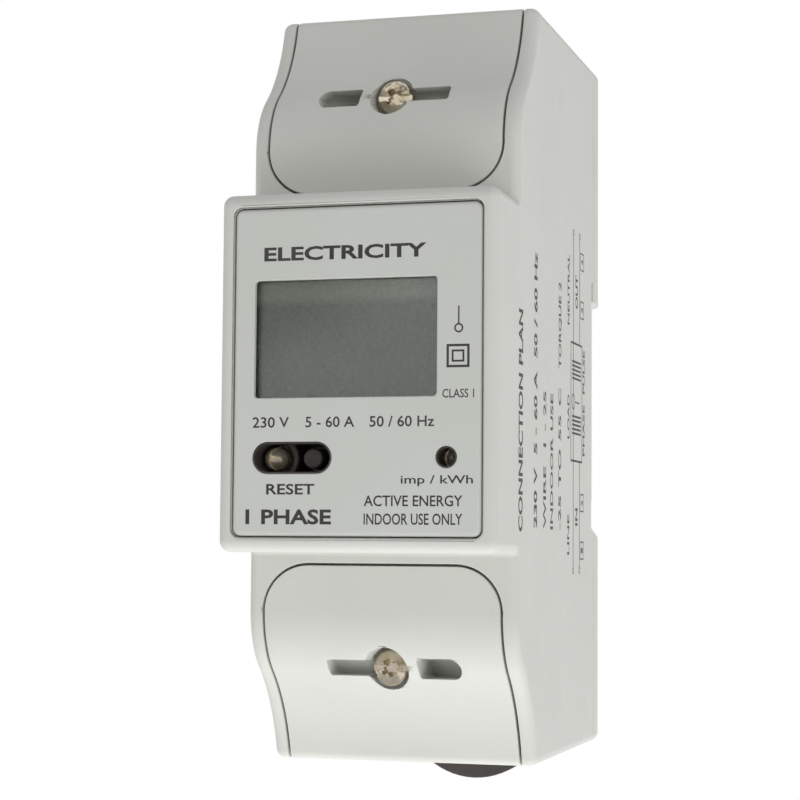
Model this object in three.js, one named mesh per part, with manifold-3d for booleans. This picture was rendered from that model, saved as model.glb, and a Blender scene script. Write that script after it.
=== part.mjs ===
// Smart electric meter for a 35 mm rail, two modules wide.
// X is the width, Y runs from the front face to the rail, Z is up, all in millimetres.
// The origin is the middle of the rail seat. Depths are counted backwards from the front face.
import * as THREE from 'three';
import { mergeVertices } from 'three/addons/utils/BufferGeometryUtils.js';
import Module from 'manifold-3d';

const wasm = await Module();
wasm.setup();

// ---------------------------------------------------------------- driving dimensions

const BODY_WIDTH = 36;
const BODY_HEIGHT = 100;
const BODY_DEPTH = 65;
const WALL = 1.8;
const EDGE_RADIUS = 1.3;          // round along the outline of both sides
const FACE_RADIUS = 1.5;          // round between the front face and the ends of the front section

const FRONT_HEIGHT = 45;          // front section that shows through a distribution board
const SHOULDER_DEPTH = 11.5;      // step from the front face to the shoulders
const SHOULDER_FLAT = 7.5;        // flat length of a shoulder along Z
const CREST_RADIUS = 10.5;        // round from the shoulder into the slope
const SLOPE_ANGLE = THREE.MathUtils.degToRad(50);
const END_DEPTH = 22.6;           // where the slope meets the end face

const RAIL_HEIGHT = 35;
const RAIL_THICKNESS = 1;
const RAIL_RECESS = 5.8;          // rail seat to the back face
const RAIL_PLAY = 0.1;
const RAIL_SLIDE_GAP = 0.3;       // between the rail flange and what grips behind it
const HOOK_REACH = 2.8;           // fixed hook behind the upper flange
const HOOK_TAPER = 0.7;
const SEAT_TOP = 13.8;            // raised rail seat ends below the hook
const SEAT_BOTTOM = -14.8;        // and above the clip's lip
const SEAT_RELIEF = 0.3;          // floor beside the seat, below it
const LEDGE_DROP = 1.1;           // lower ledge below the rail's lower edge
const LEDGE_TAPER = 1.6;

const SPLIT_OFFSET = 1.2;         // split between case and base, behind the rail seat
const SPLIT_GAP = 0.2;
const BASE_SPIGOT = 1.8;          // part of the base inside the case walls
const FIT_GAP = 0.15;             // round a spigot or a lid, on each side

const PLATE_BORDER_X = 2;
const PLATE_BORDER_Z = 2;
const PLATE_THICKNESS = 1.7;
const PLATE_BEVEL = 0.5;
const PLATE_CORNER = 1;
const PLATE_SEAT_GAP = 0.3;
const FRONT_WALL = 1.6;           // wall of the case behind the front plate

const WINDOW_WIDTH = 23.66;
const WINDOW_HEIGHT = 14.76;
const WINDOW_X = -1.47;
const WINDOW_Z = 4.06;
const WINDOW_CORNER = 0.5;
const LENS_MARGIN = 1.2;
const LENS_THICKNESS = 0.75;
const LENS_CORNER = 0.6;
const GLASS_MARGIN_X = 1.3;
const GLASS_MARGIN_Z = 3.3;
const GLASS_THICKNESS = 2;
const BACKLIGHT_THICKNESS = 2.2;
const STRIP_WIDTH = 1.4;
const HOLDER_WALL = 1.1;
const PART_GAP = 0.2;             // between assembled inner pieces

const RESET_WIDTH = 10.36;
const RESET_HEIGHT = 3.99;
const RESET_X = -8.23;
const RESET_Z = -10.77;
const IR_LED_OFFSET = -3.2;       // from the middle of the reset opening
const BUTTON_OFFSET = 1.95;
const BUTTON_RADIUS = 1.3;
const BUTTON_SINK = 2.6;          // button face below the front face
const BUTTON_FLANGE = 0.3;
const BUTTON_EDGE = 0.25;
const SWITCH_HEIGHT = 2.8;        // top of the switch above its board
const SWITCH_HALF = 1.9;
const SWITCH_OFFSET = 0.35;       // middle of the switch to the axis of the button
const BUTTON_TRAVEL = 0.5;
const LED_RADIUS = 1.5;
const LED_FLANGE = 0.35;
const LED_STAND = 3;              // flange above the board
const LEG_PITCH = 1.4;
const LEG_WIDTH = 0.5;
const IR_LED_SINK = 2;
const IR_HOLDER_RADIUS = 2.9;
const PULSE_X = 11.6;
const PULSE_RADIUS = 1.35;
const PULSE_LED_SINK = 2.2;

const BOARD_THICKNESS = 1.6;
const DISPLAY_BOARD_DEPTH = 9.8;
const METERING_BOARD_DEPTH = 24.2;
const BOARD_GAP = 0.8;            // board edge to wall
const BOARD_CORNER = 1;
const POST_WIDTH = 1.6;           // posts for the display board
const LEDGE_BELOW = 4;            // ledges for the metering board, from the case screws along Z
const LEDGE_ABOVE = 1;
const LEDGE_END = 6;              // end of those ledges behind the board's front
const PART_STAND = 0.15;          // parts on a board above its face
const HEADER_PITCH = 2.54;
const HEADER_PINS = 8;
const HEADER_BODY = 8.5;
const HEADER_PIN = 0.64;
const HEADER_OFFSET = 4;          // header to the lower wall of the front section
const CHIP_LEG_WIDTH = 0.44;
const CHIP_LEG_REACH = 0.9;
const X_CAPACITOR = { x: [-14.6, 2.9], z: [12.2, 17.4], height: 11, corner: 0.6, bevel: 0.4 };
const VARISTOR = { x: -9.6, z: [3.6, 7.2], radius: 5.2, height: 5.6, legs: [-12.4, -6.8], leg: [5.1, 5.7] };
const CRYSTAL = { x: -1, z: -12.4, width: 11, length: 4.6, height: 3.6, bevel: 0.3 };
const WIRE_RADIUS = 0.55;
const WIRE_BEND = 2.4;
const WIRE_SWING = 1.4;

const COVER_WALL = 1.8;
const COVER_INSET = 2.17;         // gap line to the side of the body
const COVER_START = 24;           // gap line from the middle of the body, along Z
const COVER_CORNER = 6;
const COVER_REST_GAP = 0.3;
const DECK_DROP = 3.1;            // deck below the place where the slope meets the end face
const POCKET_START = 33;          // terminal pocket from the middle of the body, along Z

const COVER_SCREW_Z = 37.3;
const SCREW_SINK = 15.6;          // top of the cover screw below the front face
const SCREW_HEAD_RADIUS = 2.5;
const SCREW_HEAD_HEIGHT = 1.85;
const SCREW_HOLE_PLAY = 0.3;
const SCREW_SHANK_RADIUS = 1.4;
const SHANK_PLAY = 0.25;
const COVER_BOSS_RADIUS = 4;
const COVER_BOSS_END = 19.6;
const WASHER_THICKNESS = 0.8;
const INSERT_RADIUS = 2.2;
const INSERT_LENGTH = 5;
const INSERT_BOSS_RADIUS = 3;
const SCREW_ENGAGEMENT = 4.3;

const SEAL_SLOT_HEIGHT = 2.6;
const SEAL_SLOT_START = 4.2;
const SEAL_SLOT_END = 9.9;
const SCREW_SLOT_HEIGHT = 2.1;
const SCREW_SLOT_END = 7.9;
const SLOT_DEPTH = 2.6;
const SLOT_SURFACE = 14.6;        // slope at the cover screw below the front face
const SLOT_END_DEPTH = 1.2;       // depth left at the far end
const SLOT_LEVEL = 1.6;           // level stretch beside the screw

const DIVIDER = 1.8;
const WIRE_HOLE_RADIUS = 4.3;
const WIRE_DEPTH = 45.2;
const TERMINAL_SCREW_Z = 40.5;
const TERMINAL_HEAD_RADIUS = 3.3;
const TERMINAL_HEAD_HEIGHT = 2.7;
const TERMINAL_SHANK_RADIUS = 1.95;
const ACCESS_PLAY = 0.45;
const BUSBAR_WIDTH = 7;
const BUSBAR_THICKNESS = 2;
const BUSBAR_DEPTH = 38.4;
const BUSBAR_END_GAP = 4;
const SHUNT_LENGTH = 17.4;
const SHUNT_NECK = 4.8;           // width between the notches
const SHUNT_SHOULDER = 3;         // full width at both ends
const CAGE_WALL = 1.3;
const CAGE_PLAY = 0.4;
const CAGE_LENGTH = 9;
const CAGE_NUT = 2.5;
const CAGE_OPENING = 9.4;         // busbar to cage floor with the terminal open
const CAGE_FLOOR = 1.6;

const CASE_SCREW_INSET = 4.6;     // screw axis to the side of the body
const CASE_SCREW_Z = 27;
const CASE_SCREW_HEAD_RADIUS = 2.6;
const CASE_SCREW_HEAD_HEIGHT = 1.8;
const CASE_SCREW_SINK = 0.5;
const CASE_SCREW_RADIUS = 1.25;
const CASE_SCREW_LENGTH = 16;
const CASE_BOSS_RADIUS = 2.9;
const CASE_BOSS_LENGTH = 15;

const CLIP_WIDTH = 16;
const CLIP_THICKNESS = 3;
const CLIP_GRIP = 2.5;            // clip behind the lower flange
const CLIP_TAB = 5.8;             // tab below the body
const CLIP_TAB_RADIUS = 11;
const CLIP_SIDE_GAP = 0.3;
const CLIP_LEDGE = 1;             // ledges that hold the clip in its channel
const SPRING_RADIUS = 1.9;
const SPRING_WIRE = 0.3;
const SPRING_TURNS = 7;
const SPRING_LENGTH = 13.8;
const SPRING_TOP = 25;
const STUD_LENGTH = 2;

// ---------------------------------------------------------------- derived places

const FRONT = -(BODY_DEPTH - RAIL_RECESS);
const HALF_W = BODY_WIDTH / 2;
const HALF_H = BODY_HEIGHT / 2;
const BACK = RAIL_RECESS;
const INNER_W = HALF_W - WALL;
const INNER_H = HALF_H - WALL;
const COVER_HALF = HALF_W - COVER_INSET;
const DECK_DEPTH = END_DEPTH + DECK_DROP;
const TERMINAL_X = (INNER_W + DIVIDER / 2) / 2;
const HOOK_GAP = RAIL_THICKNESS + RAIL_SLIDE_GAP;
const RAIL_TOP = RAIL_HEIGHT / 2 + RAIL_PLAY;
const LEDGE_Z = -(RAIL_HEIGHT / 2 + LEDGE_DROP);
const PLATE_HALF_W = HALF_W - PLATE_BORDER_X;
const PLATE_HALF_H = FRONT_HEIGHT / 2 - PLATE_BORDER_Z;
const PLATE_POCKET = PLATE_THICKNESS + PLATE_SEAT_GAP;
const FRONT_WALL_BACK = PLATE_POCKET + FRONT_WALL;
const SHOULDER_FLOOR = SHOULDER_DEPTH + COVER_WALL + COVER_REST_GAP;
const PLATE_GAP = 0.15;

const depth = (d) => FRONT + d;

// ---------------------------------------------------------------- geometry helpers

/** Turns a closed geometry into a solid. */
function solid(geometry) {
  const bare = geometry.clone();
  bare.deleteAttribute('normal');
  bare.deleteAttribute('uv');
  const merged = mergeVertices(bare, 1e-5);
  return new wasm.Manifold(new wasm.Mesh({
    numProp: 3,
    vertProperties: new Float32Array(merged.attributes.position.array),
    triVerts: new Uint32Array(merged.index.array),
  }));
}

/** Turns a solid back into a geometry. */
function geometryOf(body) {
  const mesh = body.getMesh();
  const geometry = new THREE.BufferGeometry();
  geometry.setAttribute('position', new THREE.BufferAttribute(mesh.vertProperties, 3));
  geometry.setIndex(new THREE.BufferAttribute(mesh.triVerts, 1));
  geometry.computeVertexNormals();
  return geometry;
}

/** Box between two corners, given as ranges along X, Y and Z. */
function box(x, y, z) {
  const geometry = new THREE.BoxGeometry(x[1] - x[0], y[1] - y[0], z[1] - z[0]);
  geometry.translate((x[0] + x[1]) / 2, (y[0] + y[1]) / 2, (z[0] + z[1]) / 2);
  return solid(geometry);
}

/** Cylinder along Y between two Y values. */
function rodY(radius, x, z, y, sides = 16) {
  const geometry = new THREE.CylinderGeometry(radius, radius, y[1] - y[0], sides);
  geometry.translate(x, (y[0] + y[1]) / 2, z);
  return solid(geometry);
}

/** Cylinder along Z between two Z values. */
function rodZ(radius, x, y, z, sides = 20) {
  const geometry = new THREE.CylinderGeometry(radius, radius, z[1] - z[0], sides);
  geometry.rotateX(Math.PI / 2);
  geometry.translate(x, y, (z[0] + z[1]) / 2);
  return solid(geometry);
}

/** Body turned about an axis along Y; the profile holds [radius, y] pairs and meets the axis at both ends. */
function turnedY(profile, x, z, sides = 16) {
  const points = profile.map(([r, y]) => new THREE.Vector2(r, y));
  const geometry = new THREE.LatheGeometry(points, sides);
  geometry.translate(x, 0, z);
  return solid(geometry);
}

/** Outline in X and Z carried along Y. */
function prismY(shape, y, options = {}) {
  const bevel = options.bevel ?? 0;
  const geometry = new THREE.ExtrudeGeometry(shape, {
    depth: y[1] - y[0] - 2 * bevel,
    curveSegments: options.curveSegments ?? 5,
    bevelEnabled: bevel > 0,
    bevelThickness: bevel,
    bevelSize: bevel,
    bevelOffset: -bevel,
    bevelSegments: 1,
  });
  geometry.translate(0, 0, bevel);
  geometry.applyMatrix4(new THREE.Matrix4().makeBasis(
    new THREE.Vector3(1, 0, 0),
    new THREE.Vector3(0, 0, 1),
    new THREE.Vector3(0, -1, 0),
  ));
  geometry.translate(0, y[1], 0);
  return solid(geometry);
}

/** Outline in Y and Z carried along X, with an optional round along both outlines. */
function prismX(points, x, round = 0) {
  const geometry = new THREE.ExtrudeGeometry(new THREE.Shape(points), {
    depth: x[1] - x[0] - 2 * round,
    bevelEnabled: round > 0,
    bevelThickness: round,
    bevelSize: round,
    bevelOffset: -round,
    bevelSegments: 2,
  });
  geometry.applyMatrix4(new THREE.Matrix4().makeBasis(
    new THREE.Vector3(0, 1, 0),
    new THREE.Vector3(0, 0, 1),
    new THREE.Vector3(1, 0, 0),
  ));
  geometry.translate(x[0] + round, 0, 0);
  return solid(geometry);
}

/** Rectangle in X and Z with round corners. */
function roundedRect(x, z, radius) {
  const shape = new THREE.Shape();
  shape.moveTo(x[0] + radius, z[0]);
  shape.lineTo(x[1] - radius, z[0]);
  shape.absarc(x[1] - radius, z[0] + radius, radius, -Math.PI / 2, 0);
  shape.lineTo(x[1], z[1] - radius);
  shape.absarc(x[1] - radius, z[1] - radius, radius, 0, Math.PI / 2);
  shape.lineTo(x[0] + radius, z[1]);
  shape.absarc(x[0] + radius, z[1] - radius, radius, Math.PI / 2, Math.PI);
  shape.lineTo(x[0], z[0] + radius);
  shape.absarc(x[0] + radius, z[0] + radius, radius, Math.PI, Math.PI * 1.5);
  return shape;
}

/** Rectangle with half-round ends along X. */
function stadium(x, z, width, height) {
  const radius = height / 2;
  const reach = width / 2 - radius;
  const shape = new THREE.Shape();
  shape.moveTo(x - reach, z - radius);
  shape.lineTo(x + reach, z - radius);
  shape.absarc(x + reach, z, radius, -Math.PI / 2, Math.PI / 2);
  shape.lineTo(x - reach, z + radius);
  shape.absarc(x - reach, z, radius, Math.PI / 2, Math.PI * 1.5);
  return shape;
}

/** Copy turned half a turn about Y, for what repeats at the other end of the body. */
function otherEnd(body) {
  return body.rotate([0, 180, 0]);
}

/** Both ends of the body: the part as drawn at the top, and its turned copy. */
function bothEnds(body) {
  return body.add(otherEnd(body));
}

// ---------------------------------------------------------------- outline of the body

/** Shoulder and slope of the top end as Y and Z points, moved inwards by an inset. */
function slopeLine(inset, startZ) {
  const crestZ = FRONT_HEIGHT / 2 + SHOULDER_FLAT;
  const crestD = SHOULDER_DEPTH + CREST_RADIUS;
  const turnZ = crestZ + CREST_RADIUS * Math.sin(SLOPE_ANGLE);
  const turnD = crestD - CREST_RADIUS * Math.cos(SLOPE_ANGLE);
  const chord = Math.atan2(END_DEPTH - turnD, HALF_H - turnZ);
  const endAngle = 2 * chord - SLOPE_ANGLE;
  const toe = (HALF_H - turnZ) / (Math.sin(SLOPE_ANGLE) - Math.sin(endAngle));
  const toeZ = turnZ + toe * Math.sin(SLOPE_ANGLE);
  const toeD = turnD - toe * Math.cos(SLOPE_ANGLE);
  const points = [new THREE.Vector2(depth(SHOULDER_DEPTH + inset), startZ)];
  const steps = 5;
  for (let i = 0; i <= steps; i += 1) {
    const angle = (SLOPE_ANGLE * i) / steps;
    points.push(new THREE.Vector2(
      depth(crestD - (CREST_RADIUS - inset) * Math.cos(angle)),
      crestZ + (CREST_RADIUS - inset) * Math.sin(angle),
    ));
  }
  for (let i = 1; i <= steps; i += 1) {
    const angle = SLOPE_ANGLE + ((endAngle - SLOPE_ANGLE) * i) / steps;
    points.push(new THREE.Vector2(
      depth(toeD + (toe + inset) * Math.cos(angle)),
      toeZ - (toe + inset) * Math.sin(angle),
    ));
  }
  return points;
}

/** Side outline of the whole body, case and base together. */
function bodyOutline() {
  const top = [];
  const cornerSteps = 2;
  for (let i = 0; i <= cornerSteps; i += 1) {
    const angle = (Math.PI / 2 * i) / cornerSteps;
    top.push(new THREE.Vector2(
      depth(FACE_RADIUS * (1 - Math.sin(angle))),
      FRONT_HEIGHT / 2 - FACE_RADIUS * (1 - Math.cos(angle)),
    ));
  }
  top.reverse();
  top.push(...slopeLine(0, FRONT_HEIGHT / 2));
  top.push(new THREE.Vector2(BACK, HALF_H));
  const bottom = top.map((p) => new THREE.Vector2(p.x, -p.y)).reverse();
  return [...bottom, ...top];
}

/** Space for the rail: raised seat, undercut below the hook, and the tapered lower ledge. */
function railSpace() {
  const past = BACK + 1;
  return prismX([
    new THREE.Vector2(-SEAT_RELIEF, LEDGE_Z),
    new THREE.Vector2(past, LEDGE_Z - LEDGE_TAPER * past / RAIL_RECESS),
    new THREE.Vector2(past, RAIL_TOP - HOOK_REACH - HOOK_TAPER),
    new THREE.Vector2(HOOK_GAP, RAIL_TOP - HOOK_REACH),
    new THREE.Vector2(HOOK_GAP, RAIL_TOP),
    new THREE.Vector2(-SEAT_RELIEF, RAIL_TOP),
    new THREE.Vector2(-SEAT_RELIEF, SEAT_TOP),
    new THREE.Vector2(0, SEAT_TOP),
    new THREE.Vector2(0, SEAT_BOTTOM),
    new THREE.Vector2(-SEAT_RELIEF, SEAT_BOTTOM),
  ], [-BODY_WIDTH, BODY_WIDTH]);
}

const wholeBody = prismX(bodyOutline(), [-HALF_W, HALF_W], EDGE_RADIUS).subtract(railSpace());

/** Front view of a terminal cover at the top end, grown or shrunk by a margin. */
function coverOutline(margin) {
  const half = COVER_HALF + margin;
  const start = COVER_START - margin;
  const radius = COVER_CORNER + margin;
  const end = HALF_H + 2;
  const shape = new THREE.Shape();
  shape.moveTo(-half, end);
  shape.lineTo(-half, start + radius);
  shape.absarc(-half + radius, start + radius, radius, Math.PI, Math.PI * 1.5);
  shape.lineTo(half - radius, start);
  shape.absarc(half - radius, start + radius, radius, -Math.PI / 2, 0);
  shape.lineTo(half, end);
  return shape;
}

// ---------------------------------------------------------------- case and base

function frontOpenings(margin, y) {
  const reset = prismY(stadium(RESET_X, RESET_Z, RESET_WIDTH + 2 * margin, RESET_HEIGHT + 2 * margin), y);
  const pulse = rodY(PULSE_RADIUS + margin, PULSE_X, RESET_Z, y);
  return reset.add(pulse);
}

function glassOutline(margin) {
  const halfW = WINDOW_WIDTH / 2 + GLASS_MARGIN_X + margin;
  const halfH = WINDOW_HEIGHT / 2 + GLASS_MARGIN_Z + margin;
  return {
    x: [WINDOW_X - halfW, WINDOW_X + halfW],
    z: [WINDOW_Z - halfH, WINDOW_Z + halfH],
  };
}

function mainCase() {
  const far = BACK + 2;
  const split = SPLIT_OFFSET - SPLIT_GAP / 2;
  let body = wholeBody.subtract(box([-BODY_WIDTH, BODY_WIDTH], [split, far], [-BODY_HEIGHT, BODY_HEIGHT]));
  const innerFrontH = FRONT_HEIGHT / 2 - WALL;
  const pocketWall = POCKET_START - WALL;
  const cavity = box([-INNER_W, INNER_W], [depth(FRONT_WALL_BACK), far], [-innerFrontH, innerFrontH])
    .add(box([-INNER_W, INNER_W], [depth(SHOULDER_FLOOR + WALL), far], [-pocketWall, pocketWall]))
    .add(box([-INNER_W, INNER_W], [depth(DECK_DEPTH + WALL), far], [-INNER_H, INNER_H]));
  body = body.subtract(cavity);

  const platePocket = roundedRect(
    [-PLATE_HALF_W - PLATE_GAP, PLATE_HALF_W + PLATE_GAP],
    [-PLATE_HALF_H - PLATE_GAP, PLATE_HALF_H + PLATE_GAP],
    PLATE_CORNER,
  );
  body = body.subtract(prismY(platePocket, [depth(-1), depth(PLATE_POCKET)], { curveSegments: 3 }));
  const glass = glassOutline(PART_GAP);
  const throughWall = [depth(PLATE_POCKET - 1), depth(FRONT_WALL_BACK + 1)];
  body = body.subtract(box(glass.x, throughWall, glass.z));
  body = body.subtract(frontOpenings(PART_GAP, throughWall));

  const recess = prismY(coverOutline(FIT_GAP), [depth(-1), depth(SHOULDER_FLOOR)]);
  const pocketHalf = COVER_HALF + FIT_GAP;
  const pocket = box([-pocketHalf, pocketHalf], [depth(-1), depth(DECK_DEPTH)], [POCKET_START, HALF_H + 2]);
  body = body.subtract(bothEnds(recess.add(pocket)));

  // walls between terminals and electronics, dividers, and bosses for the cover screws
  const inside = [depth(DECK_DEPTH), depth(BUSBAR_DEPTH - PART_GAP)];
  const wall = box([-INNER_W - 0.2, INNER_W + 0.2], inside, [pocketWall, POCKET_START]);
  const divider = box(
    [-DIVIDER / 2, DIVIDER / 2],
    [depth(DECK_DEPTH + WALL / 2), -BASE_SPIGOT - COVER_REST_GAP],
    [pocketWall + 0.1, INNER_H + 0.2],
  );
  const bossEnd = DECK_DEPTH + INSERT_LENGTH + WALL;
  const boss = rodY(INSERT_BOSS_RADIUS, 0, COVER_SCREW_Z, [depth(DECK_DEPTH + WALL / 2), depth(bossEnd)], 16);
  body = body.add(bothEnds(wall.add(divider).add(boss)));
  const insertBore = rodY(
    INSERT_RADIUS + PART_GAP / 2, 0, COVER_SCREW_Z,
    [depth(DECK_DEPTH - 1), depth(DECK_DEPTH + INSERT_LENGTH + COVER_REST_GAP + PART_GAP)], 16,
  );
  body = body.subtract(bothEnds(insertBore));

  // screw access through the deck and wire holes through the end walls
  for (const x of [-TERMINAL_X, TERMINAL_X]) {
    const access = rodY(
      TERMINAL_HEAD_RADIUS + ACCESS_PLAY, x, TERMINAL_SCREW_Z,
      [depth(DECK_DEPTH - 1), depth(DECK_DEPTH + WALL + 1)],
    );
    const wire = rodZ(WIRE_HOLE_RADIUS, x, depth(WIRE_DEPTH), [INNER_H - 1, HALF_H + 1], 24);
    body = body.subtract(bothEnds(access.add(wire)));
  }

  // bosses for the case screws, posts for the display board and ledges for the metering board
  const caseScrewX = HALF_W - CASE_SCREW_INSET;
  const bossBack = -BASE_SPIGOT - COVER_REST_GAP;
  for (const x of [-caseScrewX, caseScrewX]) {
    for (const z of [-CASE_SCREW_Z, CASE_SCREW_Z]) {
      const innerFront = FRONT_HEIGHT / 2 - WALL;
      const across = mirrored(Math.sign(x), INNER_W - POST_WIDTH, INNER_W + 0.2);
      const bossFront = bossBack - CASE_BOSS_LENGTH;
      const ledgeFront = METERING_BOARD_DEPTH + BOARD_THICKNESS + PART_GAP / 2;
      body = body
        .add(rodY(CASE_BOSS_RADIUS, x, z, [bossFront, bossBack], 16))
        .subtract(rodY(CASE_SCREW_RADIUS + PART_GAP / 2, x, z, [bossFront + WALL, bossBack + 1], 12))
        .add(box(
          across,
          [depth(FRONT_WALL_BACK - 0.2), depth(DISPLAY_BOARD_DEPTH - PART_GAP / 2)],
          mirrored(Math.sign(z), innerFront - POST_WIDTH, innerFront + 0.2),
        ))
        .add(box(
          across,
          [depth(ledgeFront), depth(METERING_BOARD_DEPTH + LEDGE_END)],
          mirrored(Math.sign(z), CASE_SCREW_Z - LEDGE_BELOW, CASE_SCREW_Z + LEDGE_ABOVE),
        ));
    }
  }
  return body;
}

/** Range from a to b on the side given by the sign. */
function mirrored(sign, a, b) {
  return sign > 0 ? [a, b] : [-b, -a];
}

function clipChannel() {
  const half = CLIP_WIDTH / 2 + CLIP_SIDE_GAP;
  const front = HOOK_GAP - CLIP_SIDE_GAP;
  const rear = HOOK_GAP + CLIP_THICKNESS + CLIP_SIDE_GAP;
  const length = [-HALF_H - 2, LEDGE_Z + 1];
  const wide = box([-half, half], [front, rear], length);
  const mouthHalf = half - CLIP_LEDGE - CLIP_SIDE_GAP;
  const mouth = box([-mouthHalf, mouthHalf], [rear - 1, BACK + 1], length);
  return wide.add(mouth);
}

function rearBase() {
  const split = SPLIT_OFFSET + SPLIT_GAP / 2;
  const frontPart = box([-BODY_WIDTH, BODY_WIDTH], [FRONT - 1, split], [-BODY_HEIGHT, BODY_HEIGHT]);
  const blocks = wholeBody.subtract(frontPart);
  const spigot = box(
    [-INNER_W + FIT_GAP, INNER_W - FIT_GAP],
    [-BASE_SPIGOT, split + 0.5],
    [-INNER_H + FIT_GAP, INNER_H - FIT_GAP],
  );
  let body = blocks.add(spigot).subtract(railSpace()).subtract(clipChannel());
  const studTop = -(SPRING_TOP + SPRING_LENGTH + COVER_REST_GAP);
  body = body.add(box(
    [-SPRING_RADIUS, SPRING_RADIUS],
    [HOOK_GAP - CLIP_SIDE_GAP - 0.5, HOOK_GAP + CLIP_THICKNESS],
    [studTop - STUD_LENGTH, studTop],
  ));
  const caseScrewX = HALF_W - CASE_SCREW_INSET;
  const seat = BACK - CASE_SCREW_SINK - CASE_SCREW_HEAD_HEIGHT - PART_GAP;
  for (const x of [-caseScrewX, caseScrewX]) {
    for (const z of [-CASE_SCREW_Z, CASE_SCREW_Z]) {
      body = body
        .subtract(rodY(CASE_SCREW_HEAD_RADIUS + SCREW_HOLE_PLAY, x, z, [seat, BACK + 1]))
        .subtract(rodY(CASE_SCREW_RADIUS + SCREW_HOLE_PLAY, x, z, [-BASE_SPIGOT - 1, seat + 1], 12));
    }
  }
  return body;
}

// ---------------------------------------------------------------- front plate and display

function frontPlate() {
  const outline = roundedRect([-PLATE_HALF_W, PLATE_HALF_W], [-PLATE_HALF_H, PLATE_HALF_H], PLATE_CORNER);
  const slab = prismY(outline, [depth(0), depth(PLATE_THICKNESS)], { bevel: PLATE_BEVEL, curveSegments: 3 });
  const halfW = WINDOW_WIDTH / 2;
  const halfH = WINDOW_HEIGHT / 2;
  const window = roundedRect(
    [WINDOW_X - halfW, WINDOW_X + halfW],
    [WINDOW_Z - halfH, WINDOW_Z + halfH],
    WINDOW_CORNER,
  );
  const lensSeat = LENS_MARGIN + PART_GAP;
  return slab
    .subtract(prismY(window, [depth(-1), depth(PLATE_THICKNESS + 1)], { curveSegments: 2 }))
    .subtract(box(
      [WINDOW_X - halfW - lensSeat, WINDOW_X + halfW + lensSeat],
      [depth(PLATE_THICKNESS - LENS_THICKNESS - PART_GAP), depth(PLATE_THICKNESS + 1)],
      [WINDOW_Z - halfH - lensSeat, WINDOW_Z + halfH + lensSeat],
    ))
    .subtract(frontOpenings(0, [depth(-1), depth(PLATE_THICKNESS + 1)]));
}

function lcdLens() {
  const halfW = WINDOW_WIDTH / 2 + LENS_MARGIN;
  const halfH = WINDOW_HEIGHT / 2 + LENS_MARGIN;
  const x = [WINDOW_X - halfW, WINDOW_X + halfW];
  const z = [WINDOW_Z - halfH, WINDOW_Z + halfH];
  const y = [depth(PLATE_THICKNESS - LENS_THICKNESS), depth(PLATE_THICKNESS)];
  return prismY(roundedRect(x, z, LENS_CORNER), y, { curveSegments: 2 });
}

const GLASS_DEPTH = PLATE_POCKET + 0.1;
const GLASS_BACK = GLASS_DEPTH + GLASS_THICKNESS;

function lcdGlass() {
  const { x, z } = glassOutline(0);
  return box(x, [depth(GLASS_DEPTH), depth(GLASS_BACK)], z);
}

/** Ranges along Z of the backlight and the two elastomer strips behind the glass. */
function displayStack() {
  const glass = glassOutline(0);
  const inset = 0.5;
  return {
    x: [glass.x[0] + inset, glass.x[1] - inset],
    backlight: [WINDOW_Z - WINDOW_HEIGHT / 2 - 0.2, WINDOW_Z + WINDOW_HEIGHT / 2 + 0.2],
    lower: [glass.z[0] + inset, glass.z[0] + inset + STRIP_WIDTH],
    upper: [glass.z[1] - inset - STRIP_WIDTH, glass.z[1] - inset],
  };
}

function lcdBacklight() {
  const { x, backlight } = displayStack();
  const front = GLASS_BACK + PART_GAP;
  return box(x, [depth(front), depth(front + BACKLIGHT_THICKNESS)], backlight);
}

function elastomerStrip(range) {
  const { x } = displayStack();
  return box(x, [depth(GLASS_BACK + PART_GAP / 2), depth(DISPLAY_BOARD_DEPTH - PART_GAP / 2)], range);
}

function lcdHolder() {
  const { x, backlight, lower, upper } = displayStack();
  const grow = (range, by) => [range[0] - by, range[1] + by];
  const y = [depth(GLASS_BACK + PART_GAP), depth(DISPLAY_BOARD_DEPTH - PART_GAP)];
  const through = [y[0] - 1, y[1] + 1];
  return box(grow(x, HOLDER_WALL), y, [lower[0] - HOLDER_WALL, upper[1] + HOLDER_WALL])
    .subtract(box(grow(x, PART_GAP), through, grow(backlight, PART_GAP)))
    .subtract(box(grow(x, PART_GAP), through, grow(lower, PART_GAP)))
    .subtract(box(grow(x, PART_GAP), through, grow(upper, PART_GAP)));
}

/** Round LED with a domed end facing the front, a flange and two legs to the board. */
function led(x, z, sink, radius) {
  const bodyEnd = DISPLAY_BOARD_DEPTH - LED_STAND;
  const flange = radius + LED_FLANGE;
  const profile = [];
  const steps = 4;
  for (let i = 0; i <= steps; i += 1) {
    const angle = (Math.PI / 2 * i) / steps;
    profile.push([radius * Math.sin(angle), depth(sink + radius * (1 - Math.cos(angle)))]);
  }
  profile[0][0] = 0;
  profile.push([radius, depth(bodyEnd - 1)]);
  profile.push([flange, depth(bodyEnd - 1)]);
  profile.push([flange, depth(bodyEnd)]);
  profile.push([0, depth(bodyEnd)]);
  let body = turnedY(profile, x, z, 16);
  for (const side of [-1, 1]) {
    const leg = x + side * LEG_PITCH / 2;
    body = body.add(box(
      [leg - LEG_WIDTH / 2, leg + LEG_WIDTH / 2],
      [depth(bodyEnd - 0.5), depth(DISPLAY_BOARD_DEPTH - PART_GAP / 2)],
      [z - LEG_WIDTH / 2, z + LEG_WIDTH / 2],
    ));
  }
  return body;
}

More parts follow.
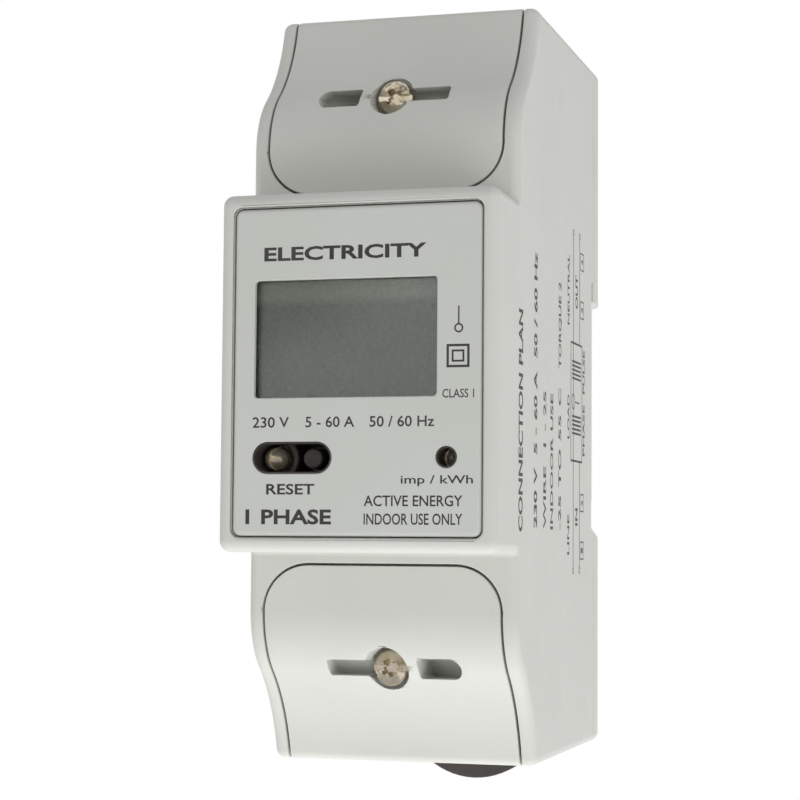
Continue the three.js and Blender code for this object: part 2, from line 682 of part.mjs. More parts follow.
function irLedHolder() {
  const y = [depth(FRONT_WALL_BACK + PART_GAP), depth(DISPLAY_BOARD_DEPTH - PART_GAP)];
  const x = RESET_X + IR_LED_OFFSET;
  return rodY(IR_HOLDER_RADIUS, x, RESET_Z, y, 20)
    .subtract(rodY(LED_RADIUS + LED_FLANGE + PART_GAP, x, RESET_Z, [y[0] - 1, y[1] + 1], 16));
}

const SWITCH_TOP = DISPLAY_BOARD_DEPTH - SWITCH_HEIGHT;

function resetButton() {
  const rear = SWITCH_TOP - BUTTON_TRAVEL - 0.1;
  return turnedY([
    [0, depth(BUTTON_SINK)],
    [BUTTON_RADIUS - BUTTON_EDGE, depth(BUTTON_SINK)],
    [BUTTON_RADIUS, depth(BUTTON_SINK + BUTTON_EDGE)],
    [BUTTON_RADIUS, depth(rear - 1)],
    [BUTTON_RADIUS + BUTTON_FLANGE, depth(rear - 1)],
    [BUTTON_RADIUS + BUTTON_FLANGE, depth(rear)],
    [0, depth(rear)],
  ], RESET_X + BUTTON_OFFSET, RESET_Z, 20);
}

function resetSwitch() {
  const x = RESET_X + BUTTON_OFFSET + SWITCH_OFFSET;
  return box(
    [x - SWITCH_HALF, x + SWITCH_HALF],
    [depth(SWITCH_TOP + 0.6), depth(DISPLAY_BOARD_DEPTH - PART_GAP / 2)],
    [RESET_Z - SWITCH_HALF, RESET_Z + SWITCH_HALF],
  ).add(rodY(1, RESET_X + BUTTON_OFFSET, RESET_Z, [depth(SWITCH_TOP), depth(SWITCH_TOP + 1)], 12));
}

// ---------------------------------------------------------------- boards and electronics

function displayBoard() {
  const halfW = INNER_W - BOARD_GAP;
  const halfH = FRONT_HEIGHT / 2 - WALL - BOARD_GAP;
  const outline = roundedRect([-halfW, halfW], [-halfH, halfH], BOARD_CORNER);
  const y = [depth(DISPLAY_BOARD_DEPTH), depth(DISPLAY_BOARD_DEPTH + BOARD_THICKNESS)];
  return prismY(outline, y, { curveSegments: 2 });
}

function meteringBoard() {
  const halfW = INNER_W - BOARD_GAP;
  const halfH = POCKET_START - WALL - BOARD_GAP;
  const outline = roundedRect([-halfW, halfW], [-halfH, halfH], BOARD_CORNER);
  const y = [depth(METERING_BOARD_DEPTH), depth(METERING_BOARD_DEPTH + BOARD_THICKNESS)];
  return prismY(outline, y, { curveSegments: 2 });
}

function boardHeader() {
  const z = -FRONT_HEIGHT / 2 + WALL + HEADER_OFFSET;
  const y = [depth(DISPLAY_BOARD_DEPTH + BOARD_THICKNESS + 0.1), depth(METERING_BOARD_DEPTH - 0.1)];
  const halfLength = HEADER_PINS * HEADER_PITCH / 2;
  const around = (centre, width) => [centre - width / 2, centre + width / 2];
  let body = box([-halfLength, halfLength], [y[0], y[0] + HEADER_BODY], around(z, HEADER_PITCH));
  for (let i = 0; i < HEADER_PINS; i += 1) {
    const x = (i - (HEADER_PINS - 1) / 2) * HEADER_PITCH;
    body = body.add(box(around(x, HEADER_PIN), [y[0] + HEADER_BODY - 0.5, y[1]], around(z, HEADER_PIN)));
  }
  return body;
}

/** Flat chip with a row of legs along both long sides, standing on a board facing the front or the back. */
function chip(x, z, width, height, thickness, legs, boardFace, side) {
  const y = (a, b) => mirrored(side, a, b).map((v) => boardFace + v);
  const standing = y(PART_STAND, PART_STAND + thickness);
  let body = box([x - width / 2, x + width / 2], standing, [z - height / 2, z + height / 2]);
  for (let i = 0; i < legs; i += 1) {
    const legX = x + (i - (legs - 1) / 2) * (width * 0.88 / (legs - 1));
    body = body.add(box(
      [legX - CHIP_LEG_WIDTH / 2, legX + CHIP_LEG_WIDTH / 2],
      y(0.05, 0.05 + thickness * 0.4),
      [z - height / 2 - CHIP_LEG_REACH, z + height / 2 + CHIP_LEG_REACH],
    ));
  }
  return body;
}

/** Can capacitor standing on the metering board, with a rolled rim at its open end. */
function canCapacitor(x, z, radius, height) {
  const base = METERING_BOARD_DEPTH - PART_STAND;
  const groove = 1.6;
  return turnedY([
    [0, depth(base - height)],
    [radius - 0.5, depth(base - height)],
    [radius, depth(base - height + 0.5)],
    [radius, depth(base - groove - 0.5)],
    [radius - 0.4, depth(base - groove)],
    [radius, depth(base - groove + 0.5)],
    [radius, depth(base)],
    [0, depth(base)],
  ], x, z, 16);
}

/** Range along Y of a part of the given height on the metering board. */
function onMeteringBoard(height) {
  return [depth(METERING_BOARD_DEPTH - height), depth(METERING_BOARD_DEPTH - PART_STAND)];
}

function xCapacitor() {
  const { x, z, height, corner, bevel } = X_CAPACITOR;
  return prismY(roundedRect(x, z, corner), onMeteringBoard(height), { bevel, curveSegments: 1 });
}

function varistor() {
  const { x, z, radius, height, legs, leg } = VARISTOR;
  const disc = rodZ(radius, x, depth(METERING_BOARD_DEPTH - height), z, 20);
  return disc.add(box(legs, onMeteringBoard(height), leg));
}

function crystal() {
  const { x, z, width, length, height, bevel } = CRYSTAL;
  return prismY(stadium(x, z, width, length), onMeteringBoard(height), { bevel, curveSegments: 4 });
}

// ---------------------------------------------------------------- current path

function busbar(x, z) {
  const y = [depth(BUSBAR_DEPTH), depth(BUSBAR_DEPTH + BUSBAR_THICKNESS)];
  return box([x - BUSBAR_WIDTH / 2, x + BUSBAR_WIDTH / 2], y, z);
}

function shunt() {
  const half = SHUNT_LENGTH / 2;
  const notch = (side) => box(
    mirrored(side, SHUNT_NECK / 2, BUSBAR_WIDTH).map((v) => v - TERMINAL_X),
    [depth(BUSBAR_DEPTH - 1), depth(BUSBAR_DEPTH + BUSBAR_THICKNESS + 1)],
    [-half + SHUNT_SHOULDER, half - SHUNT_SHOULDER],
  );
  return busbar(-TERMINAL_X, [-half, half]).subtract(notch(-1)).subtract(notch(1));
}

function lead(points, radius) {
  const path = new THREE.CatmullRomCurve3(points.map(([x, d, z]) => new THREE.Vector3(x, depth(d), z)));
  const section = new THREE.Shape();
  section.absarc(0, 0, radius, 0, Math.PI * 2);
  return solid(new THREE.ExtrudeGeometry(section, { steps: 12, curveSegments: 4, extrudePath: path }));
}

/** Square clamp ring round the busbar; its front wall carries the screw's thread. */
function clampCage(x) {
  const half = BUSBAR_WIDTH / 2 + CAGE_PLAY + CAGE_WALL;
  const innerHalf = half - CAGE_WALL;
  const front = BUSBAR_DEPTH - COVER_REST_GAP - CAGE_NUT;
  const floor = BUSBAR_DEPTH + BUSBAR_THICKNESS + CAGE_OPENING;
  const z = [TERMINAL_SCREW_Z - CAGE_LENGTH / 2, TERMINAL_SCREW_Z + CAGE_LENGTH / 2];
  const opening = [depth(front + CAGE_NUT), depth(floor)];
  const thread = [depth(front - 1), depth(front + CAGE_NUT + 1)];
  return box([x - half, x + half], [depth(front), depth(floor + CAGE_FLOOR)], z)
    .subtract(box([x - innerHalf, x + innerHalf], opening, [z[0] - 1, z[1] + 1]))
    .subtract(rodY(TERMINAL_SHANK_RADIUS + PART_GAP, x, TERMINAL_SCREW_Z, thread, 16));
}

/** Cross and slot drive cut into a screw head that faces the front. */
function driveRecess(x, z, top, reach, cut) {
  const arm = (angle, half, length) => {
    const bar = new THREE.BoxGeometry(2 * length, cut + 1, 2 * half);
    bar.rotateY(angle);
    bar.translate(x, depth(top) + (cut - 1) / 2, z);
    return solid(bar);
  };
  const cross = 0.44;
  return arm(0, 0.35, reach * 1.4)
    .add(arm(cross, 0.3, reach * 0.62))
    .add(arm(cross + Math.PI / 2, 0.3, reach * 0.62));
}

function panScrew(x, z, top, headRadius, headHeight, shankRadius, tip) {
  const under = top + headHeight;
  const point = shankRadius * 0.6;
  const profile = [
    [0, depth(top)],
    [headRadius * 0.55, depth(top + headHeight * 0.07)],
    [headRadius * 0.86, depth(top + headHeight * 0.27)],
    [headRadius, depth(top + headHeight * 0.6)],
    [headRadius, depth(under)],
    [shankRadius, depth(under)],
    [shankRadius, depth(tip - point)],
    [shankRadius * 0.55, depth(tip)],
    [0, depth(tip)],
  ];
  return turnedY(profile, x, z, 16).subtract(driveRecess(x, z, top, headRadius, headHeight * 0.55));
}

function terminalScrew(x) {
  const top = DECK_DEPTH + 0.6;
  return panScrew(
    x, TERMINAL_SCREW_Z, top, TERMINAL_HEAD_RADIUS, TERMINAL_HEAD_HEIGHT,
    TERMINAL_SHANK_RADIUS, BUSBAR_DEPTH - COVER_REST_GAP,
  );
}

// ---------------------------------------------------------------- terminal covers

const COVER_TOP = 2;              // any depth above the cover's highest point, for cutting tools

function coverBody() {
  const half = COVER_HALF - FIT_GAP;
  const startZ = COVER_START + FIT_GAP;
  const skirtZ = POCKET_START + COVER_REST_GAP;
  const foot = depth(DECK_DEPTH - COVER_REST_GAP);
  const outer = slopeLine(0, startZ);
  const shell = prismX([
    new THREE.Vector2(depth(SHOULDER_DEPTH + COVER_WALL), startZ),
    ...outer,
    new THREE.Vector2(foot, HALF_H),
    new THREE.Vector2(foot, skirtZ),
    new THREE.Vector2(depth(SHOULDER_DEPTH + COVER_WALL), skirtZ),
  ].reverse(), [-half, half]).intersect(prismY(coverOutline(-FIT_GAP), [FRONT - 1, BACK]));
  const innerStart = FRONT_HEIGHT / 2 + SHOULDER_FLAT - 0.01;
  const inner = slopeLine(COVER_WALL, startZ).filter((p) => p.y > innerStart && p.y < INNER_H);
  const hollow = prismX([
    ...inner,
    new THREE.Vector2(inner.at(-1).x + 0.6, INNER_H),
    new THREE.Vector2(foot + 1, INNER_H),
    new THREE.Vector2(foot + 1, inner[0].y),
  ].reverse(), [-half + COVER_WALL, half - COVER_WALL]);
  const bossSpace = [depth(COVER_TOP), depth(COVER_BOSS_END)];
  const boss = rodY(COVER_BOSS_RADIUS, 0, COVER_SCREW_Z, bossSpace, 20).intersect(shell);
  return shell.subtract(hollow).add(boss);
}

/** Sloping pocket for the seal wire, from full depth beside the screw to nothing at its far end. */
function sealSlot(from, to, height, roundEnd) {
  const deep = SLOT_SURFACE + SLOT_DEPTH;
  const side = Math.sign(to - from);
  const ramp = new THREE.Shape([
    new THREE.Vector2(from, depth(COVER_TOP)),
    new THREE.Vector2(to, depth(COVER_TOP)),
    new THREE.Vector2(to, depth(SLOT_SURFACE + SLOT_END_DEPTH)),
    new THREE.Vector2(from + side * SLOT_LEVEL, depth(deep)),
    new THREE.Vector2(from, depth(deep)),
  ]);
  const wedge = new THREE.ExtrudeGeometry(ramp, { depth: height, bevelEnabled: false });
  wedge.translate(0, 0, COVER_SCREW_Z - height / 2);
  const reach = [Math.min(from, to) - 0.5, Math.max(from, to)];
  const radius = roundEnd ? height / 2 - 0.05 : 0.3;
  const z = [COVER_SCREW_Z - height / 2, COVER_SCREW_Z + height / 2];
  const outline = roundedRect(side > 0 ? [reach[0] - 2, reach[1]] : [to, from + 3], z, radius);
  const frame = prismY(outline, [depth(COVER_TOP - 1), depth(deep + 1)], { curveSegments: 3 });
  return solid(wedge).intersect(frame);
}

function terminalCover() {
  const seat = SCREW_SINK + SCREW_HEAD_HEIGHT + PART_GAP;
  const headSpace = [depth(COVER_TOP), depth(seat)];
  const shankSpace = [depth(seat - 1), depth(COVER_BOSS_END + 1)];
  return coverBody()
    .subtract(rodY(SCREW_HEAD_RADIUS + SCREW_HOLE_PLAY, 0, COVER_SCREW_Z, headSpace, 24))
    .subtract(rodY(SCREW_SHANK_RADIUS + SHANK_PLAY, 0, COVER_SCREW_Z, shankSpace, 16))
    .subtract(sealSlot(-SEAL_SLOT_START, -SEAL_SLOT_END, SEAL_SLOT_HEIGHT, true))
    .subtract(sealSlot(SCREW_HEAD_RADIUS * 0.8, SCREW_SLOT_END, SCREW_SLOT_HEIGHT, false));
}

function coverScrew() {
  return panScrew(
    0, COVER_SCREW_Z, SCREW_SINK, SCREW_HEAD_RADIUS, SCREW_HEAD_HEIGHT,
    SCREW_SHANK_RADIUS, DECK_DEPTH + COVER_REST_GAP + SCREW_ENGAGEMENT,
  );
}

function screwWasher() {
  const back = DECK_DEPTH - 0.5;
  const y = [depth(back - WASHER_THICKNESS), depth(back)];
  return rodY(SCREW_SHANK_RADIUS + 1.8, 0, COVER_SCREW_Z, y)
    .subtract(rodY(SCREW_SHANK_RADIUS + PART_GAP / 2, 0, COVER_SCREW_Z, [y[0] - 1, y[1] + 1], 16));
}

function coverNut() {
  const y = [depth(DECK_DEPTH + COVER_REST_GAP), depth(DECK_DEPTH + COVER_REST_GAP + INSERT_LENGTH)];
  return rodY(INSERT_RADIUS, 0, COVER_SCREW_Z, y, 16)
    .subtract(rodY(SCREW_SHANK_RADIUS + PART_GAP / 2, 0, COVER_SCREW_Z, [y[0] - 1, y[1] + 1], 16));
}

// ---------------------------------------------------------------- case screws and rail clip

function caseScrew(x, z) {
  const seat = BACK - CASE_SCREW_SINK - CASE_SCREW_HEAD_HEIGHT;
  const head = CASE_SCREW_HEAD_RADIUS;
  const screw = turnedY([
    [0, seat - CASE_SCREW_LENGTH],
    [CASE_SCREW_RADIUS, seat - CASE_SCREW_LENGTH + 1.5],
    [CASE_SCREW_RADIUS, seat],
    [head, seat],
    [head, seat + CASE_SCREW_HEAD_HEIGHT * 0.45],
    [head * 0.8, seat + CASE_SCREW_HEAD_HEIGHT * 0.8],
    [0, seat + CASE_SCREW_HEAD_HEIGHT],
  ], x, z, 16);
  const arm = (angle) => {
    const bar = new THREE.BoxGeometry(head * 1.3, 2, 0.6);
    bar.rotateY(angle);
    bar.translate(x, seat + CASE_SCREW_HEAD_HEIGHT, z);
    return solid(bar);
  };
  return screw.subtract(arm(Math.PI / 4)).subtract(arm(-Math.PI / 4));
}

function dinClip() {
  const half = CLIP_WIDTH / 2;
  const y = [HOOK_GAP, HOOK_GAP + CLIP_THICKNESS];
  const top = -RAIL_HEIGHT / 2 + CLIP_GRIP;
  const bottom = -HALF_H - CLIP_TAB;
  const side = prismX([
    new THREE.Vector2(y[0], bottom),
    new THREE.Vector2(y[1], bottom),
    new THREE.Vector2(y[1], top - 2.8),
    new THREE.Vector2(y[0] + 0.9, top),
    new THREE.Vector2(y[0], top),
  ], [-half, half]);
  const front = new THREE.Shape();
  const corner = bottom + CLIP_TAB_RADIUS - Math.sqrt(CLIP_TAB_RADIUS ** 2 - half ** 2);
  const spread = Math.asin(half / CLIP_TAB_RADIUS);
  front.moveTo(-half, top + 1);
  front.lineTo(-half, corner);
  front.absarc(0, bottom + CLIP_TAB_RADIUS, CLIP_TAB_RADIUS, -Math.PI / 2 - spread, -Math.PI / 2 + spread);
  front.lineTo(half, top + 1);
  const blade = side.intersect(prismY(front, [y[0] - 1, y[1] + 1], { curveSegments: 10 }));
  const studTop = -(SPRING_TOP + SPRING_LENGTH + COVER_REST_GAP);
  const window = box(
    [-SPRING_RADIUS - 0.6, SPRING_RADIUS + 0.6],
    [y[0] - 1, y[1] + 1],
    [studTop - STUD_LENGTH - COVER_REST_GAP, -SPRING_TOP + COVER_REST_GAP],
  );
  let clip = blade.subtract(window);
  const ribs = 3;
  for (let i = 0; i < ribs; i += 1) {
    const z = bottom + 4 + i * 1.8;
    clip = clip.add(box([-half + 2.2, half - 2.2], [y[1] - 0.3, y[1] + 0.7], [z, z + 0.9]));
  }
  const slot = box([-2.5, 2.5], [y[0] - 1, y[1] + 1], [-HALF_H + 2.2, -HALF_H + 4]);
  return clip.subtract(slot);
}

function clipSpring() {
  const lower = -(SPRING_TOP + SPRING_LENGTH);
  const centreY = HOOK_GAP + CLIP_THICKNESS / 2;
  const coil = SPRING_RADIUS - SPRING_WIRE - 0.1;
  class Helix extends THREE.Curve {
    getPoint(t, target = new THREE.Vector3()) {
      const angle = t * SPRING_TURNS * Math.PI * 2;
      const rise = SPRING_WIRE + t * (SPRING_LENGTH - 2 * SPRING_WIRE);
      return target.set(coil * Math.cos(angle), centreY + coil * Math.sin(angle), lower + rise);
    }
  }
  const section = new THREE.Shape();
  section.absarc(0, 0, SPRING_WIRE, 0, Math.PI * 2);
  return solid(new THREE.ExtrudeGeometry(section, {
    steps: SPRING_TURNS * 8,
    curveSegments: 2,
    extrudePath: new Helix(),
  }));
}

// ---------------------------------------------------------------- materials

const materials = {
  caseGrey: new THREE.MeshStandardMaterial({ color: 0xc8c9c3, roughness: 0.5, metalness: 0 }),
  plateGrey: new THREE.MeshStandardMaterial({ color: 0xc0c2bc, roughness: 0.45, metalness: 0 }),
  clearPlastic: new THREE.MeshStandardMaterial({ color: 0x6b7068, roughness: 0.1, metalness: 0 }),
  lcd: new THREE.MeshStandardMaterial({ color: 0x3a4038, roughness: 0.2, metalness: 0 }),
  blackPlastic: new THREE.MeshStandardMaterial({ color: 0x231f1d, roughness: 0.55, metalness: 0 }),
  whitePlastic: new THREE.MeshStandardMaterial({ color: 0xe6e6e0, roughness: 0.6, metalness: 0 }),
  nickel: new THREE.MeshStandardMaterial({ color: 0xb9b4aa, roughness: 0.3, metalness: 1 }),
  zinc: new THREE.MeshStandardMaterial({ color: 0xaeb2b4, roughness: 0.4, metalness: 1 }),
  brass: new THREE.MeshStandardMaterial({ color: 0xc9a24e, roughness: 0.35, metalness: 1 }),
  copper: new THREE.MeshStandardMaterial({ color: 0xb87450, roughness: 0.4, metalness: 1 }),
  manganin: new THREE.MeshStandardMaterial({ color: 0x9a8a78, roughness: 0.5, metalness: 1 }),
  circuitBoard: new THREE.MeshStandardMaterial({ color: 0x1f5a38, roughness: 0.5, metalness: 0 }),
  springSteel: new THREE.MeshStandardMaterial({ color: 0x8f9396, roughness: 0.35, metalness: 1 }),
  rubber: new THREE.MeshStandardMaterial({ color: 0x3f4450, roughness: 0.8, metalness: 0 }),
  wireRed: new THREE.MeshStandardMaterial({ color: 0x9d2a24, roughness: 0.5, metalness: 0 }),
  blueEpoxy: new THREE.MeshStandardMaterial({ color: 0x2c5a9c, roughness: 0.5, metalness: 0 }),
  yellowBox: new THREE.MeshStandardMaterial({ color: 0xc8a83c, roughness: 0.5, metalness: 0 }),
  canSleeve: new THREE.MeshStandardMaterial({ color: 0x22262c, roughness: 0.4, metalness: 0 }),
};

// ---------------------------------------------------------------- assembly

const meter = new THREE.Group();

function place(parent, name, body, material) {
  const mesh = new THREE.Mesh(geometryOf(body), material);
  mesh.name = name;
  parent.add(mesh);
  return mesh;
}

place(meter, 'main_case', mainCase(), materials.caseGrey);
place(meter, 'rear_base', rearBase(), materials.caseGrey);

const screwCorners = [[-1, 1], [1, 1], [-1, -1], [1, -1]];
screwCorners.forEach(([sideX, sideZ], i) => {
  const screw = caseScrew(sideX * (HALF_W - CASE_SCREW_INSET), sideZ * CASE_SCREW_Z);
  place(meter, `case_screw_${i + 1}`, screw, materials.zinc);
});

place(meter, 'front_plate', frontPlate(), materials.plateGrey);
place(meter, 'lcd_lens', lcdLens(), materials.clearPlastic);
place(meter, 'lcd_glass', lcdGlass(), materials.lcd);
place(meter, 'lcd_backlight', lcdBacklight(), materials.whitePlastic);
place(meter, 'lcd_holder', lcdHolder(), materials.whitePlastic);
place(meter, 'elastomer_strip_upper', elastomerStrip(displayStack().upper), materials.rubber);
place(meter, 'elastomer_strip_lower', elastomerStrip(displayStack().lower), materials.rubber);
const irLedX = RESET_X + IR_LED_OFFSET;
place(meter, 'ir_led', led(irLedX, RESET_Z, IR_LED_SINK, LED_RADIUS), materials.clearPlastic);
place(meter, 'ir_led_holder', irLedHolder(), materials.blackPlastic);
place(meter, 'pulse_led', led(PULSE_X, RESET_Z, PULSE_LED_SINK, LED_RADIUS), materials.clearPlastic);
place(meter, 'reset_button', resetButton(), materials.blackPlastic);
place(meter, 'reset_switch', resetSwitch(), materials.blackPlastic);

place(meter, 'display_board', displayBoard(), materials.circuitBoard);
place(meter, 'metering_board', meteringBoard(), materials.circuitBoard);
place(meter, 'board_header', boardHeader(), materials.blackPlastic);
const displayBack = depth(DISPLAY_BOARD_DEPTH + BOARD_THICKNESS);
place(meter, 'microcontroller', chip(0, 3, 10, 8.4, 1.4, 8, displayBack, 1), materials.blackPlastic);
const meteringFront = depth(METERING_BOARD_DEPTH);
place(meter, 'metering_chip', chip(-7, -4.5, 10, 6.4, 2, 6, meteringFront, -1), materials.blackPlastic);
place(meter, 'optocoupler', chip(10.6, -10.6, 5, 6, 3.4, 2, meteringFront, -1), materials.blackPlastic);
place(meter, 'crystal', crystal(), materials.zinc);
place(meter, 'x_capacitor', xCapacitor(), materials.yellowBox);
place(meter, 'varistor', varistor(), materials.blueEpoxy);
place(meter, 'electrolytic_capacitor_1', canCapacitor(9.6, 12.4, 4, 11.5), materials.canSleeve);
place(meter, 'electrolytic_capacitor_2', canCapacitor(10.6, 2, 3.15, 11), materials.canSleeve);

const barEnd = HALF_H - BUSBAR_END_GAP;
const barStart = SHUNT_LENGTH / 2 + PART_GAP / 2;
place(meter, 'live_busbar_in', busbar(-TERMINAL_X, [-barEnd, -barStart]), materials.copper);
place(meter, 'shunt_resistor', shunt(), materials.manganin);
place(meter, 'live_busbar_out', busbar(-TERMINAL_X, [barStart, barEnd]), materials.copper);
place(meter, 'neutral_busbar', busbar(TERMINAL_X, [-barEnd, barEnd]), materials.copper);

const wireFrom = METERING_BOARD_DEPTH + BOARD_THICKNESS + PART_GAP;
const wireTo = BUSBAR_DEPTH - PART_GAP;
const wireMiddle = (wireFrom + wireTo) / 2;
for (const [name, x, z] of [
  ['sense_wire_lower', -TERMINAL_X, -(SHUNT_LENGTH / 2 - 1.5)],
  ['sense_wire_upper', -TERMINAL_X, SHUNT_LENGTH / 2 - 1.5],
  ['neutral_lead', TERMINAL_X, -14],
]) {
  const bend = Math.sign(z) * WIRE_BEND;
  const route = [
    [x, wireFrom, z - bend],
    [x + WIRE_SWING, wireMiddle - 2, z - bend],
    [x + 1, wireMiddle + 2, z],
    [x, wireTo, z],
  ];
  place(meter, name, lead(route, WIRE_RADIUS), materials.wireRed);
}

for (const end of ['top', 'bottom']) {
  const turn = end === 'top' ? (body) => body : otherEnd;
  place(meter, `${end}_terminal_cover`, turn(terminalCover()), materials.caseGrey);
  place(meter, `${end}_cover_screw`, turn(coverScrew()), materials.nickel);
  place(meter, `${end}_screw_washer`, turn(screwWasher()), materials.whitePlastic);
  place(meter, `${end}_cover_nut`, turn(coverNut()), materials.brass);
  for (const side of ['left', 'right']) {
    const x = (side === 'left' ? -TERMINAL_X : TERMINAL_X) * (end === 'top' ? 1 : -1);
    place(meter, `${end}_${side}_clamp`, turn(clampCage(x)), materials.zinc);
    place(meter, `${end}_${side}_terminal_screw`, turn(terminalScrew(x)), materials.zinc);
  }
}

place(meter, 'din_clip', dinClip(), materials.blackPlastic);
place(meter, 'clip_spring', clipSpring(), materials.springSteel);

export default meter;
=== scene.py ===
"""Looks of a two-module rail-mounted electric meter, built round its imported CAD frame.

Sizes are in millimetres in the frame's axes: X to the right, Y from the front face to the rail,
Z up, with the origin on the rail seat. Meshes are written in metres.
"""
import logging
import math
from dataclasses import dataclass, field
from enum import Enum
from functools import reduce
from typing import Iterable, Sequence

import bmesh
import bpy
import numpy as np
from mathutils import Euler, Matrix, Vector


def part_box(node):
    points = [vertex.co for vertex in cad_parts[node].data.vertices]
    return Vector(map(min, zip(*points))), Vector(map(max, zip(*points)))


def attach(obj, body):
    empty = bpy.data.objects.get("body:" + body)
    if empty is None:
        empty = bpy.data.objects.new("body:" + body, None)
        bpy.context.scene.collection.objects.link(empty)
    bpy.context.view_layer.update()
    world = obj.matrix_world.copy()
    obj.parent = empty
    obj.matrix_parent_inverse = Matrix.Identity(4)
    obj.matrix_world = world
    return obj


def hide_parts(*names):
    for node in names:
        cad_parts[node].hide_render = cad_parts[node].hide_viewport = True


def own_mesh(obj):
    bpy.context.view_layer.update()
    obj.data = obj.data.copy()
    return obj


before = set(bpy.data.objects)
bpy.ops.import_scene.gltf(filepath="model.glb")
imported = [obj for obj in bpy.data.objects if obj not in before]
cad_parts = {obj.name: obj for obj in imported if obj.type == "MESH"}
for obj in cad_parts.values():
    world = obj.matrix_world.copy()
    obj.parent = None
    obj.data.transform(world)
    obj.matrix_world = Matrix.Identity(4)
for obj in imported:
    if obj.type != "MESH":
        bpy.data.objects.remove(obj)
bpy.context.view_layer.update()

MM = 0.001
LOG = logging.getLogger("meter")

Socket = bpy.types.NodeSocket
Object = bpy.types.Object
Tree = bpy.types.NodeTree


# ---------------------------------------------------------------- sizes from the frame


@dataclass(frozen=True)
class Box:
    """Box of a CAD node in millimetres.

    Attributes:
        low: lowest X, Y and Z.
        high: highest X, Y and Z.
    """

    low: tuple[float, float, float]
    high: tuple[float, float, float]

    @classmethod
    def of(cls, node: str) -> "Box":
        """Box of one CAD node at rest."""
        low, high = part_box(node)
        return cls(tuple(v / MM for v in low), tuple(v / MM for v in high))

    @property
    def x(self) -> tuple[float, float]:
        """Range along X."""
        return self.low[0], self.high[0]

    @property
    def y(self) -> tuple[float, float]:
        """Range along Y."""
        return self.low[1], self.high[1]

    @property
    def z(self) -> tuple[float, float]:
        """Range along Z."""
        return self.low[2], self.high[2]

    @property
    def centre(self) -> tuple[float, float, float]:
        """Middle of the box."""
        return tuple((a + b) / 2 for a, b in zip(self.low, self.high))


class End(Enum):
    """The two ends of the meter; the bottom is the top turned half a turn about Y."""

    TOP = 1
    BOTTOM = -1

    @property
    def label(self) -> str:
        """Name of the end as the CAD nodes spell it."""
        return self.name.lower()


class Drive(Enum):
    """Recess in a screw head."""

    CROSS = "cross"
    COMBI = "combi"


# ---------------------------------------------------------------- contours


@dataclass
class Contour:
    """Closed line in X and Z with an outward unit normal at each point.

    Attributes:
        points: rows of X and Z in anticlockwise order.
        normals: rows of X and Z.
    """

    points: np.ndarray
    normals: np.ndarray

    @classmethod
    def from_arcs(cls, arcs: Iterable[tuple[float, float, float, float, float]], steps: int) -> "Contour":
        """Joins arcs, given as centre X, centre Z, radius, start and end angle in degrees, by straight lines.

        Args:
            arcs: arcs in anticlockwise order.
            steps: segments in each arc.

        Returns:
            The closed contour.
        """
        points, normals = [], []
        for x, z, radius, start, end in arcs:
            angle = np.radians(np.linspace(start, end, steps + 1))
            normal = np.stack([np.cos(angle), np.sin(angle)], 1)
            points.append(np.array([x, z]) + radius * normal)
            normals.append(normal)
        return cls(np.concatenate(points), np.concatenate(normals))

    @classmethod
    def circle(cls, x: float, z: float, radius: float, steps: int = 48) -> "Contour":
        """Circle with its centre at X and Z."""
        angle = np.linspace(0, 2 * math.pi, steps, endpoint=False)
        normal = np.stack([np.cos(angle), np.sin(angle)], 1)
        return cls(np.array([x, z]) + radius * normal, normal)

    @classmethod
    def rect(
        cls, x: Sequence[float], z: Sequence[float], radius: float = 0.01, steps: int = 6
    ) -> "Contour":
        """Rectangle with round corners over the given ranges."""
        left, right, low, high = x[0] + radius, x[1] - radius, z[0] + radius, z[1] - radius
        return cls.from_arcs(
            [
                (right, low, radius, -90, 0),
                (right, high, radius, 0, 90),
                (left, high, radius, 90, 180),
                (left, low, radius, 180, 270),
            ],
            steps,
        )

    @classmethod
    def stadium(cls, x: float, z: float, width: float, height: float, steps: int = 20) -> "Contour":
        """Rectangle with half-round ends along X."""
        radius = height / 2
        reach = width / 2 - radius
        return cls.from_arcs([(x + reach, z, radius, -90, 90), (x - reach, z, radius, 90, 270)], steps)

    def ring(self, y: float, grow: float = 0.0) -> np.ndarray:
        """Points of the contour at one Y, moved outwards along the normals."""
        flat = self.points + grow * self.normals
        return np.stack([flat[:, 0], np.full(len(flat), y), flat[:, 1]], 1)


def rounded(y: Sequence[float], front: float, back: float = 0.0, steps: int = 5) -> list[tuple[float, float]]:
    """Levels of a slab along Y with quarter-round edges: each is a Y and how far the contour grows there.

    Along a round of radius r the level goes in by r times one minus sine as Y advances by r times
    one minus cosine.

    Args:
        y: range of the slab.
        front: radius of the front edge.
        back: radius of the back edge.
        steps: segments in a round.

    Returns:
        Levels from front to back.
    """
    turn = np.linspace(0, math.pi / 2, steps + 1)
    levels = [(y[0], 0.0)]
    if front:
        levels = [(y[0] + front * (1 - math.cos(a)), -front * (1 - math.sin(a))) for a in turn]
    if back:
        levels += [(y[1] - back * (1 - math.cos(a)), -back * (1 - math.sin(a))) for a in turn[::-1]]
    else:
        levels.append((y[1], 0))
    return levels


def flared(mouth: float, deep: float, radius: float, steps: int = 4) -> list[tuple[float, float]]:
    """Levels of a cutter whose hole widens by a chamfer at its mouth.

    Args:
        mouth: Y of the face that the hole opens in.
        deep: Y where the cutter ends.
        radius: width of the chamfer.
        steps: rows along the chamfer.

    Returns:
        Levels from in front of the mouth to the deep end.
    """
    turn = np.linspace(0, math.pi / 2, steps + 1)
    direction = math.copysign(1.0, deep - mouth)
    levels = [(mouth - direction, radius)]
    levels += [(mouth + direction * radius * math.sin(a), radius * (1 - math.sin(a))) for a in turn]
    levels.append((deep, 0))
    return levels


